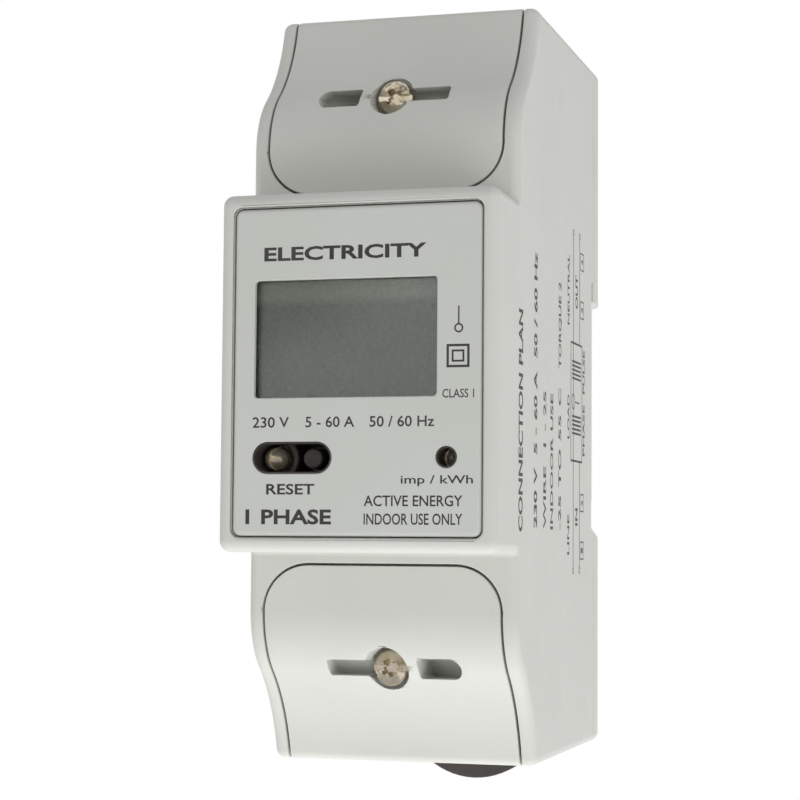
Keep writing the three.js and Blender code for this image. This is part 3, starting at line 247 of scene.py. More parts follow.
# ---------------------------------------------------------------- closed shells


@dataclass
class Shell:
    """Closed surface under construction.

    Attributes:
        points: rows of X, Y and Z in millimetres.
        faces: point indices of each face.
    """

    points: np.ndarray
    faces: list[list[int]]

    def plus(self, other: "Shell") -> "Shell":
        """This shell and another in one mesh, unchanged."""
        shift = len(self.points)
        moved = [[i + shift for i in face] for face in other.faces]
        return Shell(np.concatenate([self.points, other.points]), self.faces + moved)

    def turned(self, end: End) -> "Shell":
        """This shell at the given end: the bottom one is turned half a turn about Y."""
        return Shell(self.points * np.array([end.value, 1, end.value]), self.faces)


def joined(shells: Iterable[Shell]) -> Shell:
    """Several shells in one mesh, in the order given."""
    return reduce(Shell.plus, shells)


def loft(rings: np.ndarray) -> Shell:
    """Closes a stack of rings into a shell: walls between neighbouring rings and a cap at each end.

    Args:
        rings: array of ring, point in the ring, and coordinate.

    Returns:
        The closed shell.
    """
    count, size = rings.shape[:2]
    row, column = np.arange(count - 1)[:, None], np.arange(size)[None, :]
    near, far = row * size + column, row * size + (column + 1) % size
    walls = np.stack([near, far, far + size, near + size], -1).reshape(-1, 4).tolist()
    first, last = list(range(size)), list(range((count - 1) * size, count * size))
    return Shell(rings.reshape(-1, 3), [first[::-1], *walls, last])


def slab(contour: Contour, levels: Sequence[tuple[float, float]]) -> Shell:
    """Shell that follows a contour through levels along Y."""
    return loft(np.array([contour.ring(y, grow) for y, grow in levels]))


def straight(contour: Contour, y: Sequence[float]) -> Shell:
    """Slab with square edges over a range of Y."""
    return slab(contour, [(y[0], 0), (y[1], 0)])


def rod(x: float, z: float, radius: float, y: Sequence[float], steps: int = 36) -> Shell:
    """Round rod along Y."""
    return straight(Contour.circle(x, z, radius, steps), y)


def block(x: Sequence[float], y: Sequence[float], z: Sequence[float]) -> Shell:
    """Plain box over three ranges."""
    corners = np.array([(x[0], z[0]), (x[1], z[0]), (x[1], z[1]), (x[0], z[1])], float)
    return straight(Contour(corners, np.zeros((4, 2))), y)


def prism(outline: Sequence[Sequence[float]], x: Sequence[float]) -> Shell:
    """Outline in Y and Z carried along X."""
    flat = np.array(outline, float)
    return loft(np.array([np.column_stack([np.full(len(flat), v), flat]) for v in x]))


def lathe(profile: Sequence[Sequence[float]], x: float, z: float, steps: int = 48) -> Shell:
    """Surface of revolution about an axis along Y; the profile holds pairs of radius and Y."""
    turns = Contour.circle(x, z, 1e-4, steps)
    return slab(turns, [(y, radius) for radius, y in profile])


def threaded(x: float, z: float, y: Sequence[float], radius: float, pitch: float, deep: float) -> Shell:
    """Screw thread: the radius falls by a triangle wave of Y over pitch minus the turn about the axis.

    Args:
        x: X of the axis.
        z: Z of the axis.
        y: range of the thread, from the head to the tip.
        radius: outside radius.
        pitch: advance for each turn.
        deep: depth of the thread.

    Returns:
        A shell with a chamfered tip.
    """
    rows, columns = int((y[1] - y[0]) / pitch * 10), 36
    along, turn = np.linspace(y[0], y[1], rows), np.linspace(0, 2 * math.pi, columns, endpoint=False)
    phase = (along[:, None] / pitch - turn[None, :] / (2 * math.pi)) % 1.0
    groove = deep * (1 - np.abs(2 * phase - 1))
    tip = np.clip((along - y[1]) / (2 * deep) + 1, 0, 1)[:, None] * deep * 1.5
    reach = radius - np.maximum(groove, tip)
    rings = np.stack(
        [x + reach * np.cos(turn), np.broadcast_to(along[:, None], reach.shape), z + reach * np.sin(turn)], -1
    )
    return loft(rings)


def tube(path: np.ndarray, radius: float, columns: int = 14) -> Shell:
    """Round wire along a path, with sections square to it."""
    tangent = np.gradient(path, axis=0)
    tangent /= np.linalg.norm(tangent, axis=1, keepdims=True)
    side = np.cross(tangent, np.array([0.0, 0.0, 1.0]))
    side /= np.linalg.norm(side, axis=1, keepdims=True)
    up = np.cross(side, tangent)
    turn = np.linspace(0, 2 * math.pi, columns, endpoint=False)[None, :, None]
    return loft(path[:, None] + radius * (np.cos(turn) * side[:, None] + np.sin(turn) * up[:, None]))


# ---------------------------------------------------------------- meshes from shells


def to_mesh(name: str, shell: Shell) -> bpy.types.Mesh:
    """Writes a shell as a mesh in metres with its faces turned outwards."""
    mesh = bpy.data.meshes.new(name)
    mesh.from_pydata((shell.points * MM).tolist(), [], shell.faces)
    work = bmesh.new()
    work.from_mesh(mesh)
    bmesh.ops.remove_doubles(work, verts=work.verts, dist=1e-7)
    bmesh.ops.recalc_face_normals(work, faces=work.faces)
    work.to_mesh(mesh)
    work.free()
    return mesh


def to_object(name: str, shell: Shell) -> Object:
    """Makes a shell an object at the origin of the frame."""
    piece = bpy.data.objects.new(name, to_mesh(name, shell))
    bpy.context.scene.collection.objects.link(piece)
    return piece


def carve(piece: Object, tools: Iterable[Shell], operation: str = "DIFFERENCE") -> Object:
    """Cuts tools from a piece, or joins or intersects them, one after the other.

    Args:
        piece: the object to change.
        tools: closed shells.
        operation: DIFFERENCE, UNION or INTERSECT.

    Returns:
        The same object with its new mesh.
    """
    helpers = [to_object("tool", shell) for shell in tools]
    for helper in helpers:
        step = piece.modifiers.new("step", "BOOLEAN")
        step.object, step.operation, step.solver = helper, operation, "EXACT"
    graph = bpy.context.evaluated_depsgraph_get()
    result = bpy.data.meshes.new_from_object(piece.evaluated_get(graph))
    old = piece.data
    piece.modifiers.clear()
    piece.data = result
    bpy.data.meshes.remove(old)
    for helper in helpers:
        leftover = helper.data
        bpy.data.objects.remove(helper)
        bpy.data.meshes.remove(leftover)
    return piece


def soften(piece: Object, width: float = 0.0, sharp_deg: float = 32, segments: int = 2) -> Object:
    """Smooth shading with sharp edges kept, and a small bevel along them where a width is given."""
    mesh = piece.data
    mesh.polygons.foreach_set("use_smooth", np.ones(len(mesh.polygons), bool))
    if width:
        bevel = piece.modifiers.new("edge", "BEVEL")
        bevel.width, bevel.segments, bevel.limit_method = width * MM, segments, "ANGLE"
        bevel.angle_limit, bevel.use_clamp_overlap = math.radians(sharp_deg), False
        bevel.miter_outer, bevel.harden_normals = "MITER_ARC", False
    else:
        mesh.set_sharp_from_angle(angle=math.radians(sharp_deg))
    shade = piece.modifiers.new("shade", "WEIGHTED_NORMAL")
    shade.keep_sharp, shade.weight = True, 80
    return piece


def show(piece: Object, finish: "Finish", body: str, *replaced: str) -> Object:
    """Dresses a piece, puts it on its body and reports it.

    Args:
        piece: the finished mesh object.
        finish: its material.
        body: the CAD body that it rides.
        replaced: CAD nodes that it stands for.

    Returns:
        The same object.
    """
    piece.data.materials.clear()
    piece.data.materials.append(finish.material())
    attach(piece, body)
    if replaced:
        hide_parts(*replaced)
    LOG.info("%s: %d faces on %s", piece.name, len(piece.data.polygons), body)
    return piece


# ---------------------------------------------------------------- finishes


def srgb(code: str) -> tuple[float, float, float, float]:
    """Scene-linear colour of an sRGB hex code, by the sRGB curve."""
    parts = [int(code[i : i + 2], 16) / 255 for i in (0, 2, 4)]
    linear = [v / 12.92 if v <= 0.04045 else ((v + 0.055) / 1.055) ** 2.4 for v in parts]
    return (*linear, 1.0)


def add_node(tree: Tree, kind: str, inputs: dict[str | int, object] | None = None, **settings: object):
    """Adds a node, sets its properties and fills its inputs with values or links.

    Args:
        tree: the node tree.
        kind: the node's type name.
        inputs: for each input, a value or the socket to link.
        settings: properties of the node.

    Returns:
        The new node.
    """
    node = tree.nodes.new(kind)
    for name, value in settings.items():
        setattr(node, name, value)
    for name, value in (inputs or {}).items():
        if isinstance(value, Socket):
            tree.links.new(value, node.inputs[name])
        else:
            node.inputs[name].default_value = value
    return node


def mix(tree: Tree, factor: object, first: object, second: object) -> Socket:
    """Blend of two colours, each a value or a socket."""
    inputs = {0: factor, 6: first, 7: second}
    return add_node(tree, "ShaderNodeMix", inputs, data_type="RGBA").outputs[2]


def ramp(
    tree: Tree,
    value: Socket,
    low: float | Socket,
    high: float | Socket,
    start: float = 0.35,
    end: float = 0.65,
) -> Socket:
    """Maps a value from the range start to end onto low to high, clamped."""
    inputs = {"Value": value, "From Min": start, "From Max": end, "To Min": low, "To Max": high}
    return add_node(tree, "ShaderNodeMapRange", inputs).outputs["Result"]


def noise(tree: Tree, where: Socket, size_mm: float, detail: float = 2.0) -> Socket:
    """Noise whose features are about the given size in millimetres."""
    inputs = {"Vector": where, "Scale": 1 / (size_mm * MM), "Detail": detail}
    return add_node(tree, "ShaderNodeTexNoise", inputs).outputs["Fac"]


def bump(tree: Tree, height: Socket, depth_mm: float, strength: float) -> Socket:
    """Surface normal that follows a pattern of the given height in millimetres."""
    inputs = {"Height": height, "Distance": depth_mm * MM, "Strength": strength}
    return add_node(tree, "ShaderNodeBump", inputs).outputs["Normal"]


def principled(tree: Tree, inputs: dict[str, object]) -> Socket:
    """Principled surface with the given inputs."""
    return add_node(tree, "ShaderNodeBsdfPrincipled", inputs).outputs["BSDF"]


def stretched(tree: Tree, where: Socket, x: float, y: float, z: float) -> Socket:
    """Coordinates scaled on each axis."""
    return add_node(tree, "ShaderNodeMapping", {"Vector": where, "Scale": (x, y, z)}).outputs["Vector"]


@dataclass(frozen=True)
class Finish:
    """Base of every finish: builds its material once and gives it a name.

    Attributes:
        name: material name.
        slot: material slot of the record; not used.
        colour: main sRGB hex colour.
        shade: second colour that the first one drifts towards.
        roughness: mean roughness.
    """

    name: str
    slot: str
    colour: str
    shade: str
    roughness: float

    def material(self) -> bpy.types.Material:
        """The finish's material, made on first use."""
        title = f"finish_{self.name}"
        if title in bpy.data.materials:
            return bpy.data.materials[title]
        made = bpy.data.materials.new(title)
        made.use_nodes = True
        tree = made.node_tree
        tree.nodes.clear()
        where = add_node(tree, "ShaderNodeTexCoord").outputs["Object"]
        add_node(tree, "ShaderNodeOutputMaterial", {"Surface": self.shader(tree, where)})
        return made

    def tint(self, tree: Tree, amount: Socket) -> Socket:
        """Drift from the main colour to the second one."""
        return mix(tree, amount, srgb(self.colour), srgb(self.shade))

    def gloss(
        self, tree: Tree, pattern: Socket, below: float, above: float, start: float = 0.35, end: float = 0.65
    ) -> Socket:
        """Roughness that wanders below and above its mean with a pattern."""
        return ramp(tree, pattern, self.roughness - below, self.roughness + above, start, end)

    def shader(self, tree: Tree, where: Socket) -> Socket:
        """Surface of the finish; each kind writes its own."""
        raise NotImplementedError


@dataclass(frozen=True)
class Moulded(Finish):
    """Moulded plastic: slow drift of colour, spark-eroded grain and uneven gloss.

    Attributes:
        grain_mm: size of the grain.
        grain_depth: height of the grain in millimetres.
        glow: subsurface weight.
    """

    grain_mm: float = 0.22
    grain_depth: float = 0.006
    glow: float = 0.0

    def shader(self, tree: Tree, where: Socket) -> Socket:
        """Principled plastic with grain bump."""
        drift = ramp(tree, noise(tree, where, 14, 3), 0, 1)
        speck = ramp(tree, noise(tree, where, 0.5, 2), -0.02, 0.02)
        amount = add_node(tree, "ShaderNodeMath", {0: drift, 1: speck}, operation="ADD").outputs[0]
        return principled(
            tree,
            {
                "Base Color": self.tint(tree, amount),
                "Roughness": self.gloss(tree, noise(tree, where, 3, 4), 0.04, 0.05, 0.3, 0.7),
                "IOR": 1.5,
                "Subsurface Weight": self.glow,
                "Subsurface Radius": (0.6 * MM, 0.5 * MM, 0.4 * MM),
                "Normal": bump(tree, noise(tree, where, self.grain_mm, 3), self.grain_depth, 0.9),
            },
        )


@dataclass(frozen=True)
class Metal(Finish):
    """Turned, drawn or stamped metal with lines along one axis and faint tarnish.

    Attributes:
        lines: scale of the pattern on each axis; a low value runs the lines along that axis.
    """

    lines: tuple[float, float, float] = (1.0, 1.0, 1.0)

    def shader(self, tree: Tree, where: Socket) -> Socket:
        """Principled metal with stretched noise in bump and roughness."""
        scratch = noise(tree, stretched(tree, where, *self.lines), 0.12, 3)
        tarnish = ramp(tree, noise(tree, where, 1.8, 4), 0, 1)
        return principled(
            tree,
            {
                "Base Color": self.tint(tree, tarnish),
                "Metallic": 1.0,
                "Roughness": self.gloss(tree, scratch, 0.06, 0.1, 0.3, 0.7),
                "Normal": bump(tree, scratch, 0.002, 0.6),
            },
        )


@dataclass(frozen=True)
class Clear(Finish):
    """Clear moulded resin with faint flow lines; light passes through it.

    Attributes:
        index: refractive index.
        clearness: share of the light that passes; the rest is scattered as by a milky resin.
    """

    index: float = 1.49
    clearness: float = 1.0

    def shader(self, tree: Tree, where: Socket) -> Socket:
        """Principled transmission with a slightly wavy surface."""
        wave = noise(tree, stretched(tree, where, 1, 1, 0.3), 4, 2)
        return principled(
            tree,
            {
                "Base Color": self.tint(tree, ramp(tree, noise(tree, where, 2, 2), 0, 1)),
                "Roughness": self.gloss(tree, wave, 0, 0.03),
                "IOR": self.index,
                "Transmission Weight": self.clearness,
                "Normal": bump(tree, wave, 0.01, 0.4),
            },
        )


@dataclass(frozen=True)
class Display(Finish):
    """Unlit liquid crystal glass: a dark field, and a lighter strip along its top that is a painted
    reflection.

    Attributes:
        reflection_band: colour of the painted reflection along the top.
        reflection_band_z: lower and upper Z of the change between the field and the painted reflection, in
            millimetres.
    """

    # Colour of the painted reflection along the top of the glass.
    reflection_band: str = "7C8175"
    reflection_band_z: tuple[float, float] = (8.2, 9.4)

    def shader(self, tree: Tree, where: Socket) -> Socket:
        """Principled glass front with the field's colours below it."""
        height = add_node(tree, "ShaderNodeSeparateXYZ", {"Vector": where}).outputs["Z"]
        # Painted reflection: this mask makes the base colour lighter towards the top of the glass.
        reflection_band = ramp(tree, height, 0, 1, self.reflection_band_z[0] * MM, self.reflection_band_z[1] * MM)
        dark = self.tint(tree, ramp(tree, noise(tree, where, 9, 3), 0, 1))
        return principled(
            tree,
            {
                "Base Color": mix(tree, reflection_band, dark, srgb(self.reflection_band)),
                "Roughness": self.gloss(tree, noise(tree, where, 0.4, 2), 0, 0.05),
                "IOR": 1.52,
            },
        )


@dataclass(frozen=True)
class Laminate(Finish):
    """Circuit board: solder mask over raised copper tracks, with the glass cloth's weave in the gloss."""

    def shader(self, tree: Tree, where: Socket) -> Socket:
        """Principled solder mask with a track pattern from rounded cells."""
        cells = add_node(
            tree,
            "ShaderNodeTexVoronoi",
            {"Vector": where, "Scale": 1 / (1.7 * MM), "Randomness": 0.55},
            feature="F1",
            distance="CHEBYCHEV",
        ).outputs["Distance"]
        track = ramp(tree, cells, 1, 0, 0.36, 0.4)
        return principled(
            tree,
            {
                "Base Color": mix(tree, track, srgb(self.shade), srgb(self.colour)),
                "Roughness": self.gloss(tree, noise(tree, where, 0.3, 2), 0.05, 0.1),
                "IOR": 1.5,
                "Coat Weight": 0.2,
                "Normal": bump(tree, track, 0.03, 0.8),
            },
        )


CASE = Moulded("case_grey", "case_plastic", "CDCEC8", "CACBC5", 0.5)
PLATE = Moulded("plate_grey", "plate_plastic", "C7C9C4", "C5C7C1", 0.42, grain_depth=0.003)
BLACK = Moulded("black_nylon", "black_plastic", "3A3533", "443E3B", 0.5, grain_depth=0.01)
WHITE = Moulded("white_nylon", "white_plastic", "E2E2DC", "D9D9D2", 0.5, glow=0.1)
CHIP_BLACK = Moulded("chip_epoxy", "black_plastic", "1D1E20", "26272A", 0.6, grain_depth=0.012)
RUBBER = Moulded("strip_rubber", "conductive_rubber", "3F4450", "555A66", 0.75)
PVC = Moulded("red_pvc", "red_insulation", "9D2A24", "8A231E", 0.4)
EPOXY = Moulded("blue_epoxy", "blue_epoxy", "2C5A9C", "264F8B", 0.3, grain_mm=1.2, grain_depth=0.05)
YELLOW = Moulded("yellow_case", "yellow_box", "C8A83C", "BE9E35", 0.38)
SLEEVE = Moulded("can_sleeve", "capacitor_sleeve", "22262C", "2A2F36", 0.35)
INK = Moulded("print_ink", "plate_plastic", "2E2E2E", "3A3A39", 0.6, grain_mm=0.1)
NICKEL = Metal("nickel", "nickel_steel", "D2C9B8", "B5A58C", 0.16, lines=(1, 0.2, 1))
ZINC = Metal("zinc", "zinc_steel", "B4B8BA", "9DA1A2", 0.38, lines=(1, 0.15, 1))
SPRING = Metal("spring_wire", "spring_steel", "8F9396", "7C8083", 0.3)
BRASS = Metal("brass", "brass", "C9A24E", "B58F42", 0.32)
COPPER = Metal("tinned_copper", "copper", "B87450", "A8664A", 0.36, lines=(1, 1, 0.1))
MANGANIN = Metal("manganin", "manganin", "9A8A78", "8A7A69", 0.42, lines=(1, 1, 0.1))
WINDOW = Clear("clear_window", "clear_window", "F2F4F0", "EDF0EC", 0.03)
RESIN = Clear("led_resin", "led_resin", "DCD3BE", "D0C6B0", 0.08, index=1.53, clearness=0.72)
# The display's lighter top strip is a painted reflection.
LCD = Display("lcd_face", "lcd", "465142", "4C584A", 0.25)
BOARD = Laminate("circuit_board", "circuit_board", "1F5A38", "174A2C", 0.4)


# ---------------------------------------------------------------- outer form


@dataclass
class Form:
    """Outer form that case, base and covers share.

    Attributes:
        clear: how far the sides stay inside the CAD box, so that the print on them fits in it.
        front_half: half of the height of the front section.
        face_round: round between the front face and the ends of the front section.
        inner_round: hollow round where the front section meets a shoulder.
        edge_round: round along the outline of both sides.
        end_round: round at the end corners.
        shoulder_depth: front face to shoulder.
        shoulder_flat: flat length of a shoulder.
        crest: round from the shoulder into the slope.
        slope: steepest angle of the slope, in degrees.
        end_depth: front face to where the slope meets the end face.
        spanned: half of the width that may have extra stations.
        back_stations: heights of extra rows on the back, above and below the case screws.
        cover_corner: corner radius of a terminal cover.
        past: how far cutters reach past the ends.
        case: box of the case.
        base: box of the rear base.
    """

    clear: float = 0.02
    front_half: float = 22.5
    face_round: float = 1.5
    inner_round: float = 0.5
    edge_round: float = 1.3
    end_round: float = 1.35
    shoulder_depth: float = 11.5
    shoulder_flat: float = 7.5
    crest: float = 10.5
    slope: float = 50.0
    end_depth: float = 22.6
    spanned: float = 14.3
    back_stations: tuple[float, ...] = (41.0, 33.0, 21.0)
    cover_corner: float = 5.85
    past: float = 2.0
    case: Box = field(default_factory=lambda: Box.of("main_case"))
    base: Box = field(default_factory=lambda: Box.of("rear_base"))

    @property
    def front(self) -> float:
        """Y of the front face, set back by the clearance."""
        return self.case.y[0] + self.clear

    @property
    def half_width(self) -> float:
        """Half of the width, less the clearance."""
        return self.case.x[1] - self.clear

    @property
    def half_height(self) -> float:
        """Half of the height."""
        return self.case.z[1]

    def depth(self, value: float) -> float:
        """Y of a depth behind the CAD's front face."""
        return self.case.y[0] + value

    def quarter(self) -> tuple[np.ndarray, np.ndarray]:
        """Upper half of the side outline.

        Each arc is a centre plus or minus its radius times the normal, where the normal at angle a is
        minus cosine a along Y and sine a along Z; minus is for hollow arcs. The toe of the slope is the
        hollow arc that leaves the crest at the slope angle and reaches the end depth at the end face.

        Returns:
            Points as Y and Z, and their normals, from the front face to the back.
        """
        slope = math.radians(self.slope)
        crest_z = self.front_half + self.shoulder_flat
        crest_d = self.shoulder_depth + self.crest
        turn_z = crest_z + self.crest * math.sin(slope)
        turn_d = crest_d - self.crest * math.cos(slope)
        chord = math.atan2(self.end_depth - turn_d, self.half_height - turn_z)
        finish = 2 * chord - slope
        toe = (self.half_height - turn_z) / (math.sin(slope) - math.sin(finish))
        toe_z = turn_z + toe * math.sin(slope)
        toe_d = turn_d - toe * math.cos(slope)
        meet = math.asin((toe_z - self.half_height + self.end_round) / (toe + self.end_round))
        end_d = toe_d + (toe + self.end_round) * math.cos(meet)
        end_z = self.half_height - self.end_round
        back = self.base.y[1]
        face_y, face_z = self.front + self.face_round, self.front_half - self.face_round
        nook_y = self.depth(self.shoulder_depth - self.inner_round)
        nook_z = self.front_half + self.inner_round
        arcs = [
            (face_y, face_z, self.face_round, 0, 90, 10),
            (nook_y, nook_z, -self.inner_round, 90, 0, 5),
            (self.depth(crest_d), crest_z, self.crest, 0, self.slope, 26),
            (self.depth(toe_d), toe_z, -toe, self.slope, math.degrees(meet), 24),
            (self.depth(end_d), end_z, self.end_round, math.degrees(meet), 90, 9),
            (back - self.end_round, end_z, self.end_round, 90, 180, 7),
        ]
        points, normals = [], []
        for y, z, radius, start, end, steps in arcs:
            angle = np.radians(np.linspace(start, end, steps + 1))
            normal = np.stack([-np.cos(angle), np.sin(angle)], 1)
            points.append(np.array([y, z]) + radius * normal)
            normals.append(normal)
        points.append(np.array([[back, z] for z in self.back_stations]))
        normals.append(np.array([[1.0, 0.0]] * len(self.back_stations)))
        return np.concatenate(points), np.concatenate(normals)

    def shell(self, spans: int = 0, inner: float = 0.0) -> Shell:
        """Whole outer form: the side outline carried along X, drawn in along a quarter round at both sides.

        Args:
            spans: number of extra stations across the middle, which keep the shading of cut surfaces even.
            inner: distance inside the outer form.

        Returns:
            The closed form.
        """
        points, normals = self.quarter()
        flip = np.array([1, -1])
        points = np.concatenate([points, (points * flip)[::-1]])
        normals = np.concatenate([normals, (normals * flip)[::-1]])
        turn = np.linspace(0, math.pi / 2, 8)
        inset = self.edge_round * (1 - np.sin(turn))
        reach = self.half_width - self.edge_round * (1 - np.cos(turn))
        flat = np.linspace(-self.spanned, self.spanned, spans)
        stations = [*zip(-reach, inset), *((x, 0.0) for x in flat), *zip(reach[::-1], inset[::-1])]
        rings = [
            np.column_stack([np.full(len(points), x), points - (drawn_in + inner) * normals])
            for x, drawn_in in stations
        ]
        return loft(np.array(rings))

    def cover_contour(self, margin: float) -> Contour:
        """Front view of a terminal cover at the top end, grown by a margin: a U that is open past the end."""
        half = Box.of("top_terminal_cover").x[1] + margin
        start = Box.of("top_terminal_cover").z[0] - margin
        radius, sharp = self.cover_corner + margin, 0.01
        end = self.half_height + self.past
        return Contour.from_arcs(
            [
                (half - radius, start + radius, radius, -90, 0),
                (half - sharp, end, sharp, 0, 90),
                (-half + sharp, end, sharp, 90, 180),
                (-half + radius, start + radius, radius, 180, 270),
            ],
            12,
        )


# ---------------------------------------------------------------- case and base


CASE_SCREWS = [f"case_screw_{number}" for number in range(1, 5)]


@dataclass
class Housing:
    """Case and rear base, with the spaces for plate, covers, terminals, rail and clip.

    Attributes:
        form: the shared outer form.
        wall: wall thickness.
        gap: play round a cover and beside the clip.
        fit: play of the plate and of the base's spigot.
        shoulder_floor: depth of the recess under a cover.
        deck: depth of the wall between a cover and the terminals.
        deck_wall: thickness of that wall.
        pocket_start: Z where the deep pocket of a cover starts.
        plate_pocket: depth of the pocket for the front plate.
        plate_corner: corner radius of that pocket.
        front_wall: depth of the inside of the case's front.
        rail_top: Z of the fixed hook's side of the rail space.
        hook_reach: length of the fixed hook.
        hook_gap: Y of the hook's undercut.
        ledge: Z of the clip's side of the rail space.
        seat: Z range of the raised rail seat.
        seat_relief: how far the seat stands out.
        reset_size: width and height of the reset opening.
        reset_shift: middle of that opening, to the right of the infrared light.
        pulse_hole: radius of the pulse light's hole.
        terminal_z: distance of the terminal screws from the middle.
        wire_depth: depth of the wire entries.
        wire_hole: radius of a wire entry.
        access_radius: radius of the holes over the terminal screws.
        divider: half of the thickness of the wall between two terminals.
        boss_radius: radius of the case screws' bosses.
        counterbore: radius of the holes for the case screws' heads.
        channel: depth range of the clip's channel in the base.
    """

    form: Form
    wall: float = 1.8
    gap: float = 0.3
    fit: float = 0.15
    shoulder_floor: float = 13.6
    deck: float = 25.7
    deck_wall: float = 0.9
    pocket_start: float = 33.0
    plate_pocket: float = 2.0
    plate_corner: float = 1.1
    front_wall: float = 3.6
    rail_top: float = 17.6
    hook_reach: float = 2.8
    hook_gap: float = 1.3
    ledge: float = -18.6
    seat: tuple[float, float] = (-14.8, 13.8)
    seat_relief: float = 0.3
    reset_size: tuple[float, float] = (10.36, 3.99)
    reset_shift: float = 3.2
    pulse_hole: float = 1.35
    terminal_z: float = 40.5
    wire_depth: float = 45.2
    wire_hole: float = 4.3
    access_radius: float = 3.75
    divider: float = 0.9
    boss_radius: float = 2.9
    counterbore: float = 2.85
    channel: tuple[float, float] = (1.0, 4.6)

    @property
    def terminal_x(self) -> float:
        """X of the right terminals."""
        return Box.of("top_right_clamp").centre[0]

    def rail_space(self) -> Shell:
        """Space for the rail, with the raised seat, the hook's undercut and the tapered ledge."""
        past, taper, chamfer = 6.8, 1.88, 0.7
        relief = -self.seat_relief
        hook = self.rail_top - self.hook_reach
        outline = [
            (relief, self.ledge), (past, self.ledge - taper), (past, hook - chamfer),
            (self.hook_gap, hook), (self.hook_gap, self.rail_top),
            (relief, self.rail_top), (relief, self.seat[1]), (0, self.seat[1]), (0, self.seat[0]),
            (relief, self.seat[0]),
        ]
        return prism(outline, (-30, 30))

    def cavity(self) -> Shell:
        """Inside of the case, stepped towards both ends and open at the back."""
        inner_x = self.form.half_width - self.wall
        steps = [
            (self.front_wall, self.form.front_half - self.wall),
            (self.shoulder_floor + self.wall, self.pocket_start - self.wall),
            (self.deck + self.wall, self.form.half_height - self.wall),
        ]
        behind_case = (68.0, 0)
        half = []
        for (near, reach), following in zip(steps, [*steps[1:], behind_case]):
            half += [(self.form.depth(near), reach), (self.form.depth(following[0]), reach)]
        outline = half + [(y, -z) for y, z in half[::-1]]
        return prism(outline, (-inner_x, inner_x))

    def openings(self, margin: float, levels: Sequence[tuple[float, float]]) -> list[Shell]:
        """Reset opening and pulse light hole through the front."""
        led, ir = Box.of("pulse_led").centre, Box.of("ir_led").centre
        width, height = (size + 2 * margin for size in self.reset_size)
        reset = Contour.stadium(ir[0] + self.reset_shift, ir[2], width, height)
        pulse = Contour.circle(led[0], led[2], self.pulse_hole + margin)
        return [slab(reset, levels), slab(pulse, levels)]

    def case_cuts(self) -> list[Shell]:
        """Everything that is taken from the solid form of the case before walls are added."""
        form, depth = self.form, self.form.depth
        plate, glass = Box.of("front_plate"), Box.of("lcd_glass")
        pocket_x, pocket_z = plate.x[1] + self.fit, plate.z[1] + self.fit
        plate_pocket = Contour.rect((-pocket_x, pocket_x), (-pocket_z, pocket_z), self.plate_corner)
        through = (depth(self.plate_pocket - 1), depth(self.front_wall + 1))
        tools = [
            block((-30, 30), (form.case.y[1], 20), (-70, 70)),
            self.rail_space(),
            self.cavity(),
            slab(plate_pocket, flared(form.front, depth(self.plate_pocket), 0.2)),
            block((glass.x[0] - 0.2, glass.x[1] + 0.2), through, (glass.z[0] - 0.2, glass.z[1] + 0.2)),
            *self.openings(0.2, [(through[0], 0), (through[1], 0)]),
        ]
        half = Box.of("top_terminal_cover").x[1] + self.gap
        to_end = (self.pocket_start, form.half_height + form.past)
        recess = straight(form.cover_contour(self.gap), (depth(-1), depth(self.shoulder_floor)))
        pocket = block((-half, half), (depth(-1), depth(self.deck)), to_end)
        for end in End:
            tools += [recess.turned(end), pocket.turned(end)]
        return tools

    def end_walls(self) -> list[Shell]:
        """Added to the top end: wall in front of the busbars, divider, and boss of the cover screw."""
        form, depth = self.form, self.form.depth
        inner_x = form.half_width - self.wall
        behind_deck = depth(self.deck + self.deck_wall)
        before_busbar = Box.of("neutral_busbar").y[0] - 0.2
        screw_z = Box.of("top_cover_screw").centre[2]
        return [
            block(
                (-inner_x - 0.2, inner_x + 0.2),
                (depth(self.deck), before_busbar),
                (self.pocket_start - self.wall, self.pocket_start),
            ),
            block(
                (-self.divider, self.divider),
                (behind_deck, -2.1),
                (self.pocket_start - 1.7, form.half_height - 1.6),
            ),
            rod(0, screw_z, 3, (behind_deck, depth(32.5))),
        ]

    def end_holes(self) -> list[Shell]:
        """Cut from the top end: holes for the cover screw, the terminal screws and the wires."""
        depth = self.form.depth
        screw_z = Box.of("top_cover_screw").centre[2]
        holes = [rod(0, screw_z, 2.3, (depth(24.7), depth(31.2)))]
        for x in (-self.terminal_x, self.terminal_x):
            holes.append(rod(x, self.terminal_z, self.access_radius, (depth(24.7), depth(28.5))))
            entry = Contour.circle(x, depth(self.wire_depth), self.wire_hole).points
            holes.append(loft(np.array([np.column_stack([entry, np.full(48, z)]) for z in (47.2, 51.0)])))
        return holes

    def build_case(self) -> Object:
        """Case: the form with its cuts, then walls, dividers and bosses, then the holes through them."""
        piece = carve(to_object("case_shell", self.form.shell()), self.case_cuts())
        added = [part.turned(end) for end in End for part in self.end_walls()]
        cut = [hole.turned(end) for end in End for hole in self.end_holes()]
        for name in CASE_SCREWS:
            x, _, z = Box.of(name).centre
            added.append(rod(x, z, self.boss_radius, (-17.1, -2.1)))
            cut.append(rod(x, z, 1.35, (-15.3, -1.1), 24))
        carve(piece, added, "UNION")
        return carve(piece, cut)

